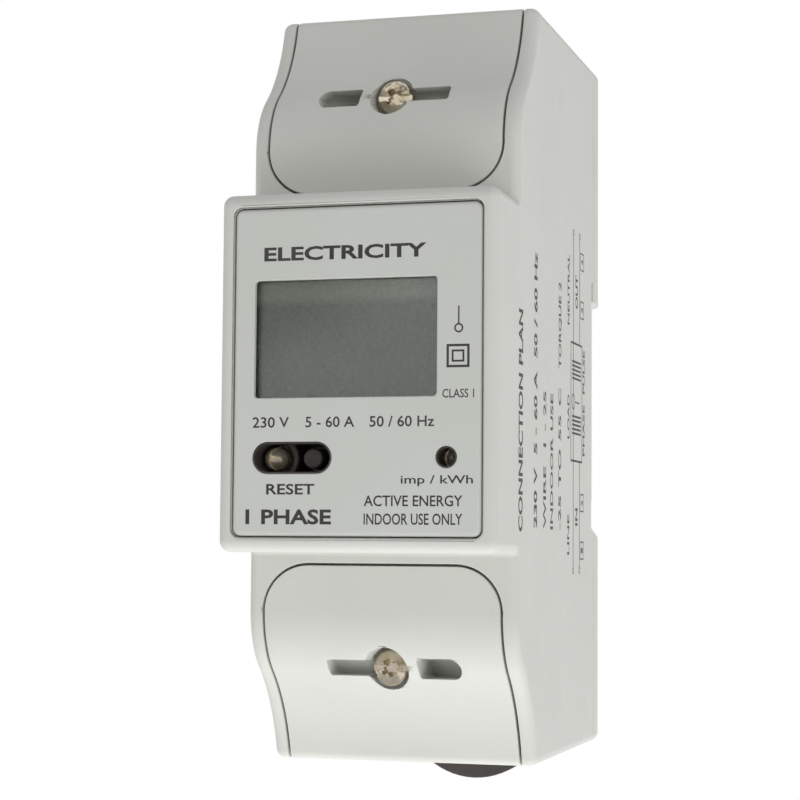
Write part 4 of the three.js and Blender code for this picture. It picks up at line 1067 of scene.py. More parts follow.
    def build_base(self) -> Object:
        """Rear base: back of the form with a spigot into the case, the clip's channel and the screw holes."""
        form = self.form
        split = form.case.y[1] + 0.2
        piece = carve(to_object("base_shell", form.shell()), [block((-30, 30), (-80, split), (-70, 70))])
        inner_x, inner_z = (half - self.wall - self.fit for half in (form.half_width, form.half_height))
        outline = Contour.rect((-inner_x, inner_x), (-inner_z, inner_z), 0.3)
        carve(piece, [slab(outline, rounded((-1.8, split + 0.5), 0.15))], "UNION")
        half, lip = Box.of("din_clip").x[1] + self.gap, 1.3
        below = (-60, self.ledge + 1)
        carve(piece, [
            self.rail_space(),
            block((-half, half), self.channel, below),
            block((-half + lip, half - lip), (self.channel[1] - 1, 8), below),
        ])
        spring = Box.of("clip_spring")
        stud_x, stud_z = (spring.x[0] - 0.1, spring.x[1] + 0.1), (spring.z[0] - 2.3, spring.z[0] - 0.3)
        carve(piece, [straight(Contour.rect(stud_x, stud_z, 0.2), (0.5, 4.3))], "UNION")
        holes = []
        for name in CASE_SCREWS:
            x, _, z = Box.of(name).centre
            holes.append(slab(Contour.circle(x, z, self.counterbore, 36), flared(form.base.y[1], 3.2, 0.1)))
            holes.append(rod(x, z, 1.55, (-2.8, 4.2), 24))
        return carve(piece, holes)

    def dress(self) -> None:
        """Shows case and base."""
        show(soften(self.build_case(), 0.16), CASE, "housing", "main_case")
        show(soften(self.build_base(), 0.16), CASE, "housing", "rear_base")


# ---------------------------------------------------------------- front


@dataclass
class Front:
    """Front plate with its window, and what shows through its openings.

    Attributes:
        form: the shared outer form.
        housing: the case, which gives the openings.
        set_back: front of the plate behind its CAD box, so that the print on it fits in the box.
        bevel: round of the plate's edge.
        lip: chamfer of the openings.
        window_margin: how far the lens reaches behind the edge of its window.
        button: radius of the reset button.
        led: radius of a light.
        led_flange: how far a light's flange stands out.
        led_end: depth of the back of the lights.
    """

    form: Form
    housing: Housing
    set_back: float = 0.03
    bevel: float = 0.55
    lip: float = 0.1
    window_margin: float = 1.2
    button: float = 1.3
    led: float = 1.5
    led_flange: float = 0.35
    led_end: float = 6.8

    def build_plate(self) -> Object:
        """Plate with a rounded border, a window with a seat for the lens behind it, and two openings."""
        plate, lens, margin = Box.of("front_plate"), Box.of("lcd_lens"), self.window_margin
        front, past = plate.y[0] + self.set_back, plate.y[1] + 1
        outline = Contour.rect(plate.x, plate.z, 1.0)
        piece = to_object("plate", slab(outline, rounded((front, plate.y[1]), self.bevel, 0.1)))
        window = Contour.rect(
            (lens.x[0] + margin, lens.x[1] - margin), (lens.z[0] + margin, lens.z[1] - margin), 0.5
        )
        seat_x, seat_z = (lens.x[0] - 0.2, lens.x[1] + 0.2), (lens.z[0] - 0.2, lens.z[1] + 0.2)
        seat = block(seat_x, (lens.y[0] - 0.2, past), seat_z)
        levels = flared(front, past, self.lip)
        return carve(piece, [slab(window, levels), seat, *self.housing.openings(0.0, levels)])

    def build_lens(self) -> Object:
        """Clear window with softened edges."""
        lens = Box.of("lcd_lens")
        outline = Contour.rect(lens.x, lens.z, 0.6)
        return to_object("window_lens", slab(outline, rounded(lens.y, 0.12, 0.12)))

    def build_button(self) -> Object:
        """Reset button: round cap with a shallow dish for a fingertip or a pen."""
        box = Box.of("reset_button")
        x, _, z = box.centre
        (top, end), radius, edge, sink = box.y, self.button, 0.3, 0.16
        rim = radius - edge - 0.05
        dish = [(r, top + sink * (1 - (r / rim) ** 2)) for r in np.linspace(0, rim, 7)]
        turn = np.linspace(0, math.pi / 2, 6)
        side = [(radius - edge + edge * math.sin(a), top + edge * (1 - math.cos(a))) for a in turn]
        flange = [(radius, end - 1), (radius + edge, end - 1), (radius + edge, end), (0.0, end)]
        return to_object("reset_cap", lathe([*dish, *side, *flange], x, z))

    def build_holder(self) -> Object:
        """Black ring that holds the infrared light."""
        box = Box.of("ir_led_holder")
        x, _, z = box.centre
        ring = to_object("ir_holder_ring", slab(Contour.circle(x, z, box.x[1] - x), rounded(box.y, 0.25)))
        return carve(ring, [slab(Contour.circle(x, z, 2.05), flared(box.y[0], box.y[1] + 1, 0.25))])

    def build_shade_liners(self) -> list[Object]:
        """Black frames that line the pulse light's hole and the reset opening from the plate to the wall:
        painted shade, dark sheets that stand in for the shade inside the openings.
        """
        # Painted shade: black sheets over the grey walls of the openings.
        y = (self.form.front + 0.12, self.form.depth(self.housing.front_wall) - 0.1)
        outer = self.housing.openings(-0.01, rounded(y, 0.1))
        inner = self.housing.openings(-0.22, [(y[0] - 1, 0), (y[1] + 1, 0)])
        reset = carve(to_object("opening_shade_liner", outer[0]), [inner[0]])
        pulse = carve(to_object("pulse_shade_liner", outer[1]), [inner[1]])
        return [pulse, reset]

    def build_led(self, node: str) -> tuple[Object, Object]:
        """Light-emitting diode.

        Args:
            node: its CAD node.

        Returns:
            The clear body with dome and flange, and the metal frame inside it: a cup on one post, a
            post beside it and two legs.
        """
        box = Box.of(node)
        x, _, z = box.centre
        radius, end, wide = self.led, self.form.depth(self.led_end), self.led + self.led_flange
        turn = np.linspace(0, math.pi / 2, 12)
        dome = [(radius * math.sin(a), box.y[0] + radius * (1 - math.cos(a))) for a in turn]
        rim = [(radius, end - 1), (wide - 0.05, end - 1), (wide, end - 0.9), (wide, end), (0, end)]
        body = to_object(f"{node}_body", lathe([*dome, *rim], x, z))
        cup_y, post, leg = box.y[0] + 1.9, 0.2, 0.22
        cup = [
            (0.0, cup_y + 0.35), (0.25, cup_y + 0.35), (0.72, cup_y), (0.85, cup_y), (0.8, cup_y + 0.7),
            (0.0, cup_y + 0.8),
        ]
        metal = [
            lathe(cup, x + 0.15, z, 24),
            block((x - 0.1, x + 0.4), (cup_y + 0.75, end - 0.2), (z - leg, z + leg)),
            block((x - 1.2, x - 0.95), (cup_y + 0.5, end - 0.2), (z - post, z + post)),
        ]
        for side in (-0.7, 0.7):
            metal.append(block((x + side - leg, x + side + leg), (end + 0.02, box.y[1]), (z - leg, z + leg)))
        return body, to_object(f"{node}_frame", joined(metal))

    def dress(self) -> None:
        """Shows the plate and the pieces in it."""
        show(soften(self.build_plate(), 0.0, 38), PLATE, "housing", "front_plate")
        show(soften(self.build_lens(), 0.0), WINDOW, "housing", "lcd_lens")
        show(soften(self.build_button(), 0.0), BLACK, "reset_button", "reset_button")
        show(soften(self.build_holder(), 0.0), BLACK, "housing", "ir_led_holder")
        # The black liners are painted shade inside the openings.
        for liner in self.build_shade_liners():
            show(soften(liner), BLACK, "housing")
        for node in ("ir_led", "pulse_led"):
            body, metal = self.build_led(node)
            show(soften(body), RESIN, "housing", node)
            show(soften(metal, 0.03), NICKEL, "housing")


# ---------------------------------------------------------------- covers


@dataclass
class TerminalCover:
    """One terminal cover with its screw hole and two seal slots.

    Attributes:
        form: the shared outer form.
        end: the end of the meter that it closes.
        wall: wall thickness.
        hole: radius of the hole for the screw's head.
        shank_hole: radius of the hole for its shank.
        head_seat: depth of the face that the head sits on.
        boss: radius of the boss round the screw.
        boss_end: depth of the back of the boss.
        sleeve: half of the height of the sleeves behind the seal slots.
        sleeve_end: depth of the back of the sleeves.
        shelf: depth of the cover's back under the shoulder.
        slope_start: depth from which the inside follows the slope of the outside.
        spans: extra stations across the form.
    """

    form: Form
    end: End
    wall: float = 1.8
    hole: float = 2.8
    shank_hole: float = 1.65
    head_seat: float = 17.65
    boss: float = 4.0
    boss_end: float = 19.6
    sleeve: float = 1.8
    sleeve_end: float = 23.2
    shelf: float = 13.3
    slope_start: float = 24.0
    spans: int = 16

    @property
    def hole_z(self) -> float:
        """Distance of the screw from the middle of the body."""
        return abs(Box.of(f"{self.end.label}_cover_screw").centre[2])

    def seal_slot(
        self, near: float, far: float, height: float, deep: float, shallow: float, round_end: bool
    ) -> Shell:
        """Slot for a seal wire, deepest beside the screw, with a floor that follows the slope.

        Args:
            near: X of the end beside the screw.
            far: X of the far end.
            height: slot height along Z.
            deep: depth of the near end.
            shallow: depth of the far end.
            round_end: whether the far end is half round.

        Returns:
            The cutter at the top end.
        """
        low, high = self.hole_z - height / 2, self.hole_z + height / 2
        corner = 0.35
        tip = height / 2 - 0.02 if round_end else corner
        left, right = ((far, tip), (near, corner)) if far < near else ((near, corner), (far, tip))
        outline = Contour.from_arcs(
            [
                (right[0] - right[1], low + right[1], right[1], -90, 0),
                (right[0] - right[1], high - right[1], right[1], 0, 90),
                (left[0] + left[1], high - left[1], left[1], 90, 180),
                (left[0] + left[1], low + left[1], left[1], 180, 270),
            ],
            10,
        )
        top, bottom = outline.ring(self.form.depth(2)), outline.ring(0)
        points, _ = self.form.quarter()
        slope = points[(points[:, 1] > 24) & (points[:, 0] < self.form.depth(self.slope_start))]
        surface = np.interp(bottom[:, 2], slope[:, 1], slope[:, 0])
        fall = np.clip((bottom[:, 0] - near) / (far - near), 0, 1)
        bottom[:, 1] = surface + deep - (deep - shallow) * fall
        return loft(np.array([top, bottom]))

    def hollows(self) -> list[Shell]:
        """Space behind the cover: level under the shoulder, and parallel to the slope beyond it."""
        form, wall = self.form, self.wall
        box = Box.of("top_terminal_cover")
        shelf_y, past_foot = form.depth(self.shelf), box.y[1] + 1
        start, reach = 30.0, form.half_height - wall
        points, normals = form.quarter()
        inner = points - wall * normals
        beyond = (inner[:, 1] > start - 0.1) & (inner[:, 1] < reach)
        roof = inner[beyond & (inner[:, 0] < form.depth(self.slope_start))]
        outline = [(past_foot, start), (shelf_y, start), *roof.tolist(), (roof[-1][0] + 0.6, reach)]
        return [
            block((-30, 30), (shelf_y, past_foot), (box.z[0] - 1, start + 3.3)),
            prism([*outline, (past_foot, reach)], (box.x[0] + wall, box.x[1] - wall)),
        ]

    def boss_shell(self) -> Shell:
        """Boss of the screw with a sleeve behind each seal slot, kept under the cover's surface."""
        depth, z = self.form.depth, self.hole_z
        boss = to_object("boss", rod(0, z, self.boss, (depth(2), depth(self.boss_end)), 48).turned(self.end))
        sleeves = [
            block((near, far), (depth(12), depth(self.sleeve_end)), (z - self.sleeve, z + self.sleeve))
            for near, far in ((-11.0, -3.5), (3.5, 9.0))
        ]
        carve(boss, [sleeve.turned(self.end) for sleeve in sleeves], "UNION")
        carve(boss, [self.form.shell(0, self.wall / 3)], "INTERSECT")
        mesh = boss.data
        points = np.array([v.co for v in mesh.vertices]) / MM
        faces = [list(face.vertices) for face in mesh.polygons]
        bpy.data.objects.remove(boss)
        bpy.data.meshes.remove(mesh)
        return Shell(points, faces)

    def build(self) -> Object:
        """Cover: the form inside the U, hollowed, with the screw's boss, hole and seal slots."""
        form, depth, z = self.form, self.form.depth, self.hole_z
        foot = Box.of("top_terminal_cover").y[1]
        piece = to_object(f"{self.end.label}_cover", form.shell(self.spans).turned(self.end))
        outline = form.cover_contour(0)
        carve(piece, [straight(outline, (form.front - 5, foot)).turned(self.end)], "INTERSECT")
        carve(piece, [hollow.turned(self.end) for hollow in self.hollows()])
        carve(piece, [self.boss_shell()], "UNION")
        cuts = [
            rod(0, z, self.hole, (depth(2), depth(self.head_seat + 0.2)), 48),
            rod(0, z, self.shank_hole, (depth(17), depth(21))),
            self.seal_slot(-4.2, -9.9, 2.6, 6.4, 3.4, True),
            self.seal_slot(2.0, 7.9, 2.1, 3.7, 3.7, False),
        ]
        return carve(piece, [cut.turned(self.end) for cut in cuts])

    def dress(self) -> None:
        """Shows the cover on its body."""
        show(soften(self.build(), 0.12), CASE, f"{self.end.label}_cover", f"{self.end.label}_terminal_cover")


# ---------------------------------------------------------------- screws


@dataclass
class Screw:
    """Pan-head machine screw that faces the front, or the back where its head is at high Y.

    Attributes:
        name: name of the piece.
        node: the CAD node that it stands for.
        body: the body that it turns with.
        head: radius of the head.
        head_height: height of the head.
        shank: outside radius of the thread.
        pitch: thread pitch.
        drive: recess in the head.
        turn: angle of the cross in degrees.
        backwards: whether the head is at the back.
        camber: rise of the head's top towards its middle, as a share of its height.
        finish: its finish.
    """

    name: str
    node: str
    body: str
    head: float
    head_height: float
    shank: float
    pitch: float
    drive: Drive = Drive.COMBI
    turn: float = 25.0
    backwards: bool = False
    camber: float = 0.16
    finish: Finish = NICKEL

    def outline(self, top: float, step: int) -> list[tuple[float, float]]:
        """Radius and Y along the head, from the middle of its top to the middle of its underside.

        The top falls with the square of the radius over the inner four fifths, an elliptic shoulder
        follows, and the rim ends in a small chamfer.

        Args:
            top: Y of the head's top.
            step: direction into the head.

        Returns:
            The profile of the head.
        """
        inner, chamfer = 0.8, 0.1
        camber, fall = self.camber * self.head_height, self.head_height * 0.42
        crown = [(self.head * inner * r, top + step * camber * r * r) for r in np.linspace(0, 1, 9)]
        side = self.head * (1 - inner)
        shoulder = [
            (self.head * inner + side * math.sin(a), top + step * (camber + fall * (1 - math.cos(a))))
            for a in np.linspace(0, math.pi / 2, 7)[1:]
        ]
        under = top + step * self.head_height
        rim = [(self.head, under - step * chamfer), (self.head - chamfer, under), (0, under)]
        return [*crown, *shoulder, *rim]

    def recess(self, top: float, step: int) -> list[Shell]:
        """Cross, with a slot over it for the combined drive."""
        arm, slot = (self.head * 0.62, self.head * 0.22), (self.head * 1.3, self.head * 0.16)
        deep = self.head_height * 0.9
        bars = [self.bar(top, step, angle, arm, deep, 0.5) for angle in (self.turn, self.turn + 90)]
        if self.drive is Drive.COMBI:
            bars.append(self.bar(top, step, 0, slot, self.head_height * 0.5, 1.0))
        return bars

    def bar(
        self, top: float, step: int, angle: float, half: tuple[float, float], deep: float, taper: float
    ) -> Shell:
        """One arm of a recess: a bar across the head that narrows with depth.

        Args:
            top: Y of the head's top.
            step: direction into the head.
            angle: angle of the bar in degrees.
            half: half of its length and of its width at the top.
            deep: depth.
            taper: share of the length that is left at the bottom.

        Returns:
            The cutter.
        """
        x, _, z = Box.of(self.node).centre
        turn = math.radians(angle)
        along = np.array([math.cos(turn), math.sin(turn)])
        across = np.array([-math.sin(turn), math.cos(turn)])
        rings = []
        for y, grow in ((top - step, 1.0), (top + step * deep, taper)):
            reach, width = half[0] * grow, half[1] * (0.6 + 0.4 * grow)
            corners = [
                along * reach * a + across * width * b for a, b in ((-1, -1), (1, -1), (1, 1), (-1, 1))
            ]
            rings.append([(x + c[0], y, z + c[1]) for c in corners])
        return loft(np.array(rings))

    def build(self) -> Object:
        """Head of revolution with its recess, and the threaded shank."""
        box = Box.of(self.node)
        x, _, z = box.centre
        top, tip, step = (box.y[1], box.y[0], -1) if self.backwards else (box.y[0], box.y[1], 1)
        piece = to_object(self.name, lathe(self.outline(top, step), x, z, 64))
        carve(piece, self.recess(top, step))
        ends = (top + step * (self.head_height - 0.3), tip)
        stem = threaded(x, z, sorted(ends), self.shank, self.pitch, self.pitch * 0.5)
        if self.backwards:
            stem.points[:, 1] = sum(ends) - stem.points[:, 1]
        return carve(piece, [stem], "UNION")

    def dress(self) -> None:
        """Shows the screw on its body."""
        show(soften(self.build(), 0.0, 40), self.finish, self.body, self.node)


# ---------------------------------------------------------------- terminals


@dataclass
class Terminals:
    """Clamp cages round the busbars, with rounded edges.

    Attributes:
        wall: thickness of the sides.
        nut: thickness of the threaded front wall.
        floor: thickness of the back.
        hole: radius of the threaded hole.
        edge: round of the edges.
    """

    wall: float = 1.3
    nut: float = 2.5
    floor: float = 1.6
    hole: float = 2.15
    edge: float = 0.35

    def build(self, node: str) -> Object:
        """Cage folded from thick strip round the busbar, with a threaded front wall."""
        box = Box.of(node)
        x, _, z = box.centre
        outline = Contour.rect(box.x, box.z, self.edge)
        piece = to_object(f"{node}_cage", slab(outline, rounded(box.y, self.edge, self.edge)))
        inside = block(
            (box.x[0] + self.wall, box.x[1] - self.wall),
            (box.y[0] + self.nut, box.y[1] - self.floor),
            (box.z[0] - 1, box.z[1] + 1),
        )
        bore = slab(Contour.circle(x, z, self.hole, 32), flared(box.y[0], box.y[0] + self.nut + 1, 0.2))
        return carve(piece, [inside, bore])

    def dress(self) -> None:
        """Shows the four cages."""
        for end in End:
            for side in ("left", "right"):
                node = f"{end.label}_{side}_clamp"
                show(soften(self.build(node), 0.08), ZINC, node, node)


# ---------------------------------------------------------------- rail clip


@dataclass
class RailClip:
    """Sliding clip with its grip ribs, and the coil spring that holds it up.

    Attributes:
        thick: thickness of the blade.
        tab_radius: radius of the blade's lower end.
        corner: radius of the corners beside that end.
        lip: length of the wedge that goes under the rail.
        lip_front: thickness of the wedge's tip.
        rib: width of the ribs from the sides, their height, and their pitch.
        turns: turns of the spring.
        wire: radius of the spring's wire.
        fixed_z: Z of the spring's end that stays with the base.
        travel: how far the clip slides.
    """

    thick: float = 3.0
    tab_radius: float = 11.0
    corner: float = 0.6
    lip: float = 2.8
    lip_front: float = 0.9
    rib: tuple[float, float, float] = (2.2, 0.9, 1.8)
    turns: int = 7
    wire: float = 0.3
    fixed_z: float = -38.8
    travel: float = 4.0

    def blade_outline(self) -> Contour:
        """Front view of the blade: square at the top, with an arc across the lower end."""
        box = Box.of("din_clip")
        half, low, high = box.x[1], box.z[0], box.z[1]
        reach, inner, top = half - self.corner, self.tab_radius - self.corner, 0.4
        spread = math.degrees(math.asin(reach / inner))
        middle = low + self.tab_radius
        corner_z = middle - math.sqrt(inner**2 - reach**2)
        return Contour.from_arcs(
            [
                (0, middle, self.tab_radius, -90 - spread, -90 + spread),
                (reach, corner_z, self.corner, -90 + spread, 0),
                (half - top, high - top, top, 0, 90),
                (-half + top, high - top, top, 90, 180),
                (-reach, corner_z, self.corner, 180, 270 - spread),
            ],
            16,
        )

    def build_blade(self) -> Object:
        """Blade with an arc end, a tapered lip, the spring's window, grip ribs and a tool slot."""
        box, spring = Box.of("din_clip"), Box.of("clip_spring")
        half, low, high = box.x[1], box.z[0], box.z[1]
        y = (box.y[0], box.y[0] + self.thick)
        past, behind, slope_z = high + 0.01, y[1] + 1, high - self.lip
        piece = to_object("clip_blade", slab(self.blade_outline(), rounded(y, 0.3, 0.3)))
        wedge = prism(
            [(y[0] + self.lip_front, past), (behind, past), (behind, slope_z), (y[1], slope_z)],
            (-half - 1, half + 1),
        )
        window = Contour.rect(
            (spring.x[0] - 0.7, spring.x[1] + 0.7), (spring.z[0] - 2.6, spring.z[1] + 0.3), 0.3
        )
        slot = Contour.rect((-2.5, 2.5), (low + 8.0, low + 9.8), 0.3)
        carve(piece, [wedge, straight(window, (y[0] - 1, behind)), slab(slot, flared(y[1], y[0] - 1, 0.2))])
        side, tall, pitch = self.rib
        ribs = []
        for number in range(3):
            z = low + 4 + number * pitch
            rib = Contour.rect((-half + side, half - side), (z, z + tall), 0.3)
            ribs.append(slab(rib, rounded((y[1] - 0.3, box.y[1]), 0.0, 0.25)))
        return carve(piece, ribs, "UNION")

    def build_spring(self) -> Object:
        """Coil spring: a helix about Z whose end turns lie flat."""
        box = Box.of("clip_spring")
        x, y, _ = box.centre
        coil = box.x[1] - x - self.wire
        t = np.linspace(0, 1, self.turns * 36)
        angle = 2 * math.pi * self.turns * t
        ease = np.clip((t - 0.06) / 0.88, 0, 1)
        rise = box.z[0] + self.wire + ease * (box.z[1] - box.z[0] - 2 * self.wire)
        path = np.stack([x + coil * np.cos(angle), y + coil * np.sin(angle), rise], 1)
        return to_object("clip_coil", tube(path, self.wire))

    def dress(self) -> None:
        """Shows blade and spring, and gives the spring a mesh of its own."""
        show(soften(self.build_blade(), 0.1), BLACK, "din_clip", "din_clip")
        coil = show(soften(self.build_spring()), SPRING, "housing", "clip_spring")
        travel, length = self.travel, Box.of("clip_spring").z[1] - self.fixed_z
        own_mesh(coil)


# ---------------------------------------------------------------- print


@dataclass
class Line:
    """One printed word.

    Attributes:
        text: the words.
        start: range along the reading direction.
        rise: baseline and cap height along the letters' upright.
        bold: stroke growth in millimetres.
    """

    text: str
    start: tuple[float, float]
    rise: tuple[float, float]
    bold: float = 0.0


FRONT_WORDS = [
    Line("ELECTRICITY", (-12.1, 9.0), (13.9, 15.6), 0.03),
    Line("230 V", (-13.4, -8.6), (-7.0, -5.65), 0.012),
    Line("5 - 60 A", (-6.45, -0.1), (-7.0, -5.65), 0.012),
    Line("50 / 60 Hz", (1.85, 10.1), (-7.0, -5.65), 0.012),
    Line("RESET", (-11.5, -5.2), (-15.3, -13.98), 0.02),
    Line("1 PHASE", (-14.2, -3.0), (-18.95, -17.15), 0.03),
    Line("ACTIVE ENERGY", (1.2, 13.7), (-16.75, -15.4), 0.012),
    Line("INDOOR USE ONLY", (1.2, 13.7), (-19.0, -17.6), 0.012),
    Line("imp / kWh", (5.9, 15.0), (-14.0, -12.95), 0.01),
    Line("CLASS 1", (11.1, 15.1), (-3.55, -2.45), 0.01),
]


@dataclass
class Print:
    """Printed function labels on the front plate and the wiring print on the right side.

    Attributes:
        ink: thickness of the print.
        cap: height of a capital in the letters' own units.
        front_play: middle of the front print behind the plate's CAD box.
        side_play: middle of the side print inside the case's CAD box.
        columns: words of the side print, each with its depth, range along Z, size and stroke growth.
        diagram: depth range of the wiring diagram.
        wires: the diagram's two wires, from its middle.
        stroke: width of the diagram's lines.
    """

    ink: float = 0.012
    cap: float = 0.729
    front_play: float = 0.03
    side_play: float = 0.02
    columns: tuple[tuple[str, float, tuple[float, float], float, float], ...] = (
        ("CONNECTION PLAN", 12.6, (-19.7, 8.5), 2.3, 0.03),
        ("230 V  5 - 60 A  50 / 60 Hz", 21.2, (-19.1, 17.0), 1.9, 0.03),
        ("WIRE  1 - 25", 26.8, (-19.2, -0.9), 1.7, 0.02),
        ("INDOOR USE", 31.2, (-19.2, -0.9), 1.7, 0.02),
        ("-25 TO 55 C", 36.4, (-19.2, 0.2), 1.7, 0.02),
        ("TORQUE 2", 36.4, (2.9, 14.9), 1.7, 0.02),
    )
    diagram: tuple[float, float] = (42.6, 53.1)
    wires: tuple[float, float] = (2.2, -2.2)
    stroke: float = 0.3

    def flat_text(self, line: Line) -> Shell:
        """Letters as a thin closed shell in reading direction and upright, scaled to the line's ranges."""
        curve = bpy.data.curves.new("letters", "FONT")
        curve.body, curve.extrude, curve.offset = line.text, 0.5, line.bold
        curve.resolution_u = 3
        holder = bpy.data.objects.new("letters", curve)
        bpy.context.scene.collection.objects.link(holder)
        graph = bpy.context.evaluated_depsgraph_get()
        mesh = bpy.data.meshes.new_from_object(holder.evaluated_get(graph))
        points = np.empty(len(mesh.vertices) * 3)
        mesh.vertices.foreach_get("co", points)
        points = points.reshape(-1, 3)
        faces = [list(face.vertices) for face in mesh.polygons]
        bpy.data.objects.remove(holder)
        bpy.data.curves.remove(curve)
        bpy.data.meshes.remove(mesh)
        low, high = points.min(0), points.max(0)
        points[:, 0] = np.interp(points[:, 0], (low[0], high[0]), line.start)
        points[:, 1] = line.rise[0] + points[:, 1] / self.cap * (line.rise[1] - line.rise[0])
        points[:, 2] = points[:, 2] / 0.5 * self.ink / 2
        return Shell(points, faces)

    def bar(self, x: Sequence[float], z: Sequence[float]) -> Shell:
        """Printed rectangle."""
        flat = np.array([(x[0], z[0]), (x[1], z[0]), (x[1], z[1]), (x[0], z[1])], float)
        layers = [np.column_stack([flat, np.full(len(flat), v)]) for v in (-self.ink / 2, self.ink / 2)]
        return loft(np.array(layers))

    def outline(self, x: Sequence[float], z: Sequence[float], stroke: float) -> Shell:
        """Printed frame of four bars."""
        between = (z[0] + stroke, z[1] - stroke)
        return joined([
            self.bar(x, (z[0], z[0] + stroke)),
            self.bar(x, (z[1] - stroke, z[1])),
            self.bar((x[0], x[0] + stroke), between),
            self.bar((x[1] - stroke, x[1]), between),
        ])

    def ring(self, x: float, z: float, radius: float, stroke: float) -> Shell:
        """Printed ring: four circles joined in a loop of bands."""
        size = 36
        flat = Contour.circle(0, 0, 1, size).points
        corners = ((radius, -1), (radius - stroke, -1), (radius - stroke, 1), (radius, 1))
        rings = [
            np.column_stack([np.array([x, z]) + reach * flat, np.full(size, level * self.ink / 2)])
            for reach, level in corners
        ]
        row, column = np.arange(len(corners))[:, None], np.arange(size)[None, :]
        following = (column + 1) % size
        here, onward = row * size, (row + 1) % len(corners) * size
        walls = np.stack([here + column, here + following, onward + following, onward + column], -1)
        return Shell(np.array(rings).reshape(-1, 3), walls.reshape(-1, 4).tolist())

    def build_front(self) -> Object:
        """Words and symbols of the front plate: a square mark, and a tally mark over a ring."""
        shell = joined([
            *(self.flat_text(line) for line in FRONT_WORDS),
            self.outline((11.6, 14.5), (0.12, 2.98), 0.3),
            self.outline((12.25, 13.85), (0.8, 2.29), 0.24),
            self.bar((13.03, 13.21), (5.5, 7.67)),
            self.ring(13.12, 4.95, 0.58, 0.2),
        ])
        along, upright, out = shell.points.T
        front = Box.of("front_plate").y[0] + self.front_play
        shell.points = np.column_stack([along, front - out, upright])
        return to_object("front_print", shell)

    def side_diagram(self, low: float, high: float) -> list[Shell]:
        """Wiring diagram between two heights: meter box, wires with their ends, numbered boxes and words."""
        middle, half = (low + high) / 2, self.stroke / 2
        levels = [middle + wire for wire in self.wires]
        box, left, right = (-9.5, 7.5), -24.5, 22.8
        wires = [
            self.bar(span, (level - half, level + half))
            for span in ((left, box[0]), (box[1], right))
            for level in levels
        ]
        marks = [
            self.outline(box, (low + 1.2, high - 1.2), self.stroke),
            *wires,
            self.bar(box, (levels[0] - half, levels[0] + half)),
            self.ring(-1.0, levels[0], 1.15, 0.2),
            self.bar((-1.1, -0.9), (levels[1], middle + 1.0)),
            *(self.ring(at, level, 0.5, 0.2) for at in (left - 0.3, right + 0.3) for level in levels),
        ]
        for word, span in (("IN", (-18.5, -16.0)), ("OUT", (12.4, 17.2))):
            marks.append(self.flat_text(Line(word, span, (middle - 0.8, middle + 0.8), 0.03)))
        for number, at in enumerate((-22.0, -15.2, 12.6, 19.6), 1):
            figure = Line(str(number), (at - 0.4, at + 0.4), (low + 0.7, low + 1.9), 0.02)
            marks.append(self.outline((at - 1.3, at + 1.3), (low + 0.1, low + 2.5), 0.2))
            marks.append(self.flat_text(figure))
        for at in (-4.4, 3.4):
            for number in range(5):
                start = at + 0.6 * number - 1.2
                marks.append(self.bar((start, start + 0.3), (low + 2.2, high - 2.2)))
        for word, span in (("PHASE", (-8.4, -1.0)), ("PULSE", (0.6, 6.9))):
            marks.append(self.flat_text(Line(word, span, (low - 0.6, low + 0.8), 0.02)))
        for word, span in (("LINE", (-22.6, -17.0)), ("LOAD", (-6.4, -0.2)), ("NEUTRAL", (9.6, 19.6))):
            marks.append(self.flat_text(Line(word, span, (high - 0.3, high + 1.1), 0.02)))
        return marks

    def build_side(self) -> Object:
        """Wiring print of the right side: columns of words that read upwards, and a line diagram."""
        case = Box.of("main_case")
        front = case.y[0]
        words = [
            self.flat_text(Line(text, span, (-front - depth - size / 2, -front - depth + size / 2), bold))
            for text, depth, span, size, bold in self.columns
        ]
        shallow, deep = self.diagram
        shell = joined([*words, *self.side_diagram(-front - deep, -front - shallow)])
        along, upright, out = shell.points.T
        shell.points = np.column_stack([case.x[1] - self.side_play + out, -upright, along])
        return to_object("side_print", shell)

    def dress(self) -> None:
        """Shows both prints."""
        show(self.build_front(), INK, "housing")
        show(self.build_side(), INK, "housing")


# ---------------------------------------------------------------- carried-over nodes


CARRIED: dict[Finish, str] = {
    LCD: "lcd_glass",
    WHITE: "lcd_backlight lcd_holder top_screw_washer bottom_screw_washer",
    RUBBER: "elastomer_strip_upper elastomer_strip_lower",
    CHIP_BLACK: "reset_switch board_header microcontroller metering_chip optocoupler",
    BOARD: "display_board metering_board",
    ZINC: "crystal",
    YELLOW: "x_capacitor",
    EPOXY: "varistor",
    SLEEVE: "electrolytic_capacitor_1 electrolytic_capacitor_2",
    COPPER: "live_busbar_in live_busbar_out neutral_busbar",
    MANGANIN: "shunt_resistor",
    PVC: "sense_wire_lower sense_wire_upper neutral_lead",
    BRASS: "top_cover_nut bottom_cover_nut",
}


def dress_carried() -> None:
    """Gives each CAD node that is shown as it is its finish."""
    for finish, names in CARRIED.items():
        for name in names.split():
            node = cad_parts[name]
            node.data.materials.clear()
            node.data.materials.append(finish.material())
            LOG.info("%s: CAD node in %s", name, finish.name)


# ---------------------------------------------------------------- studio


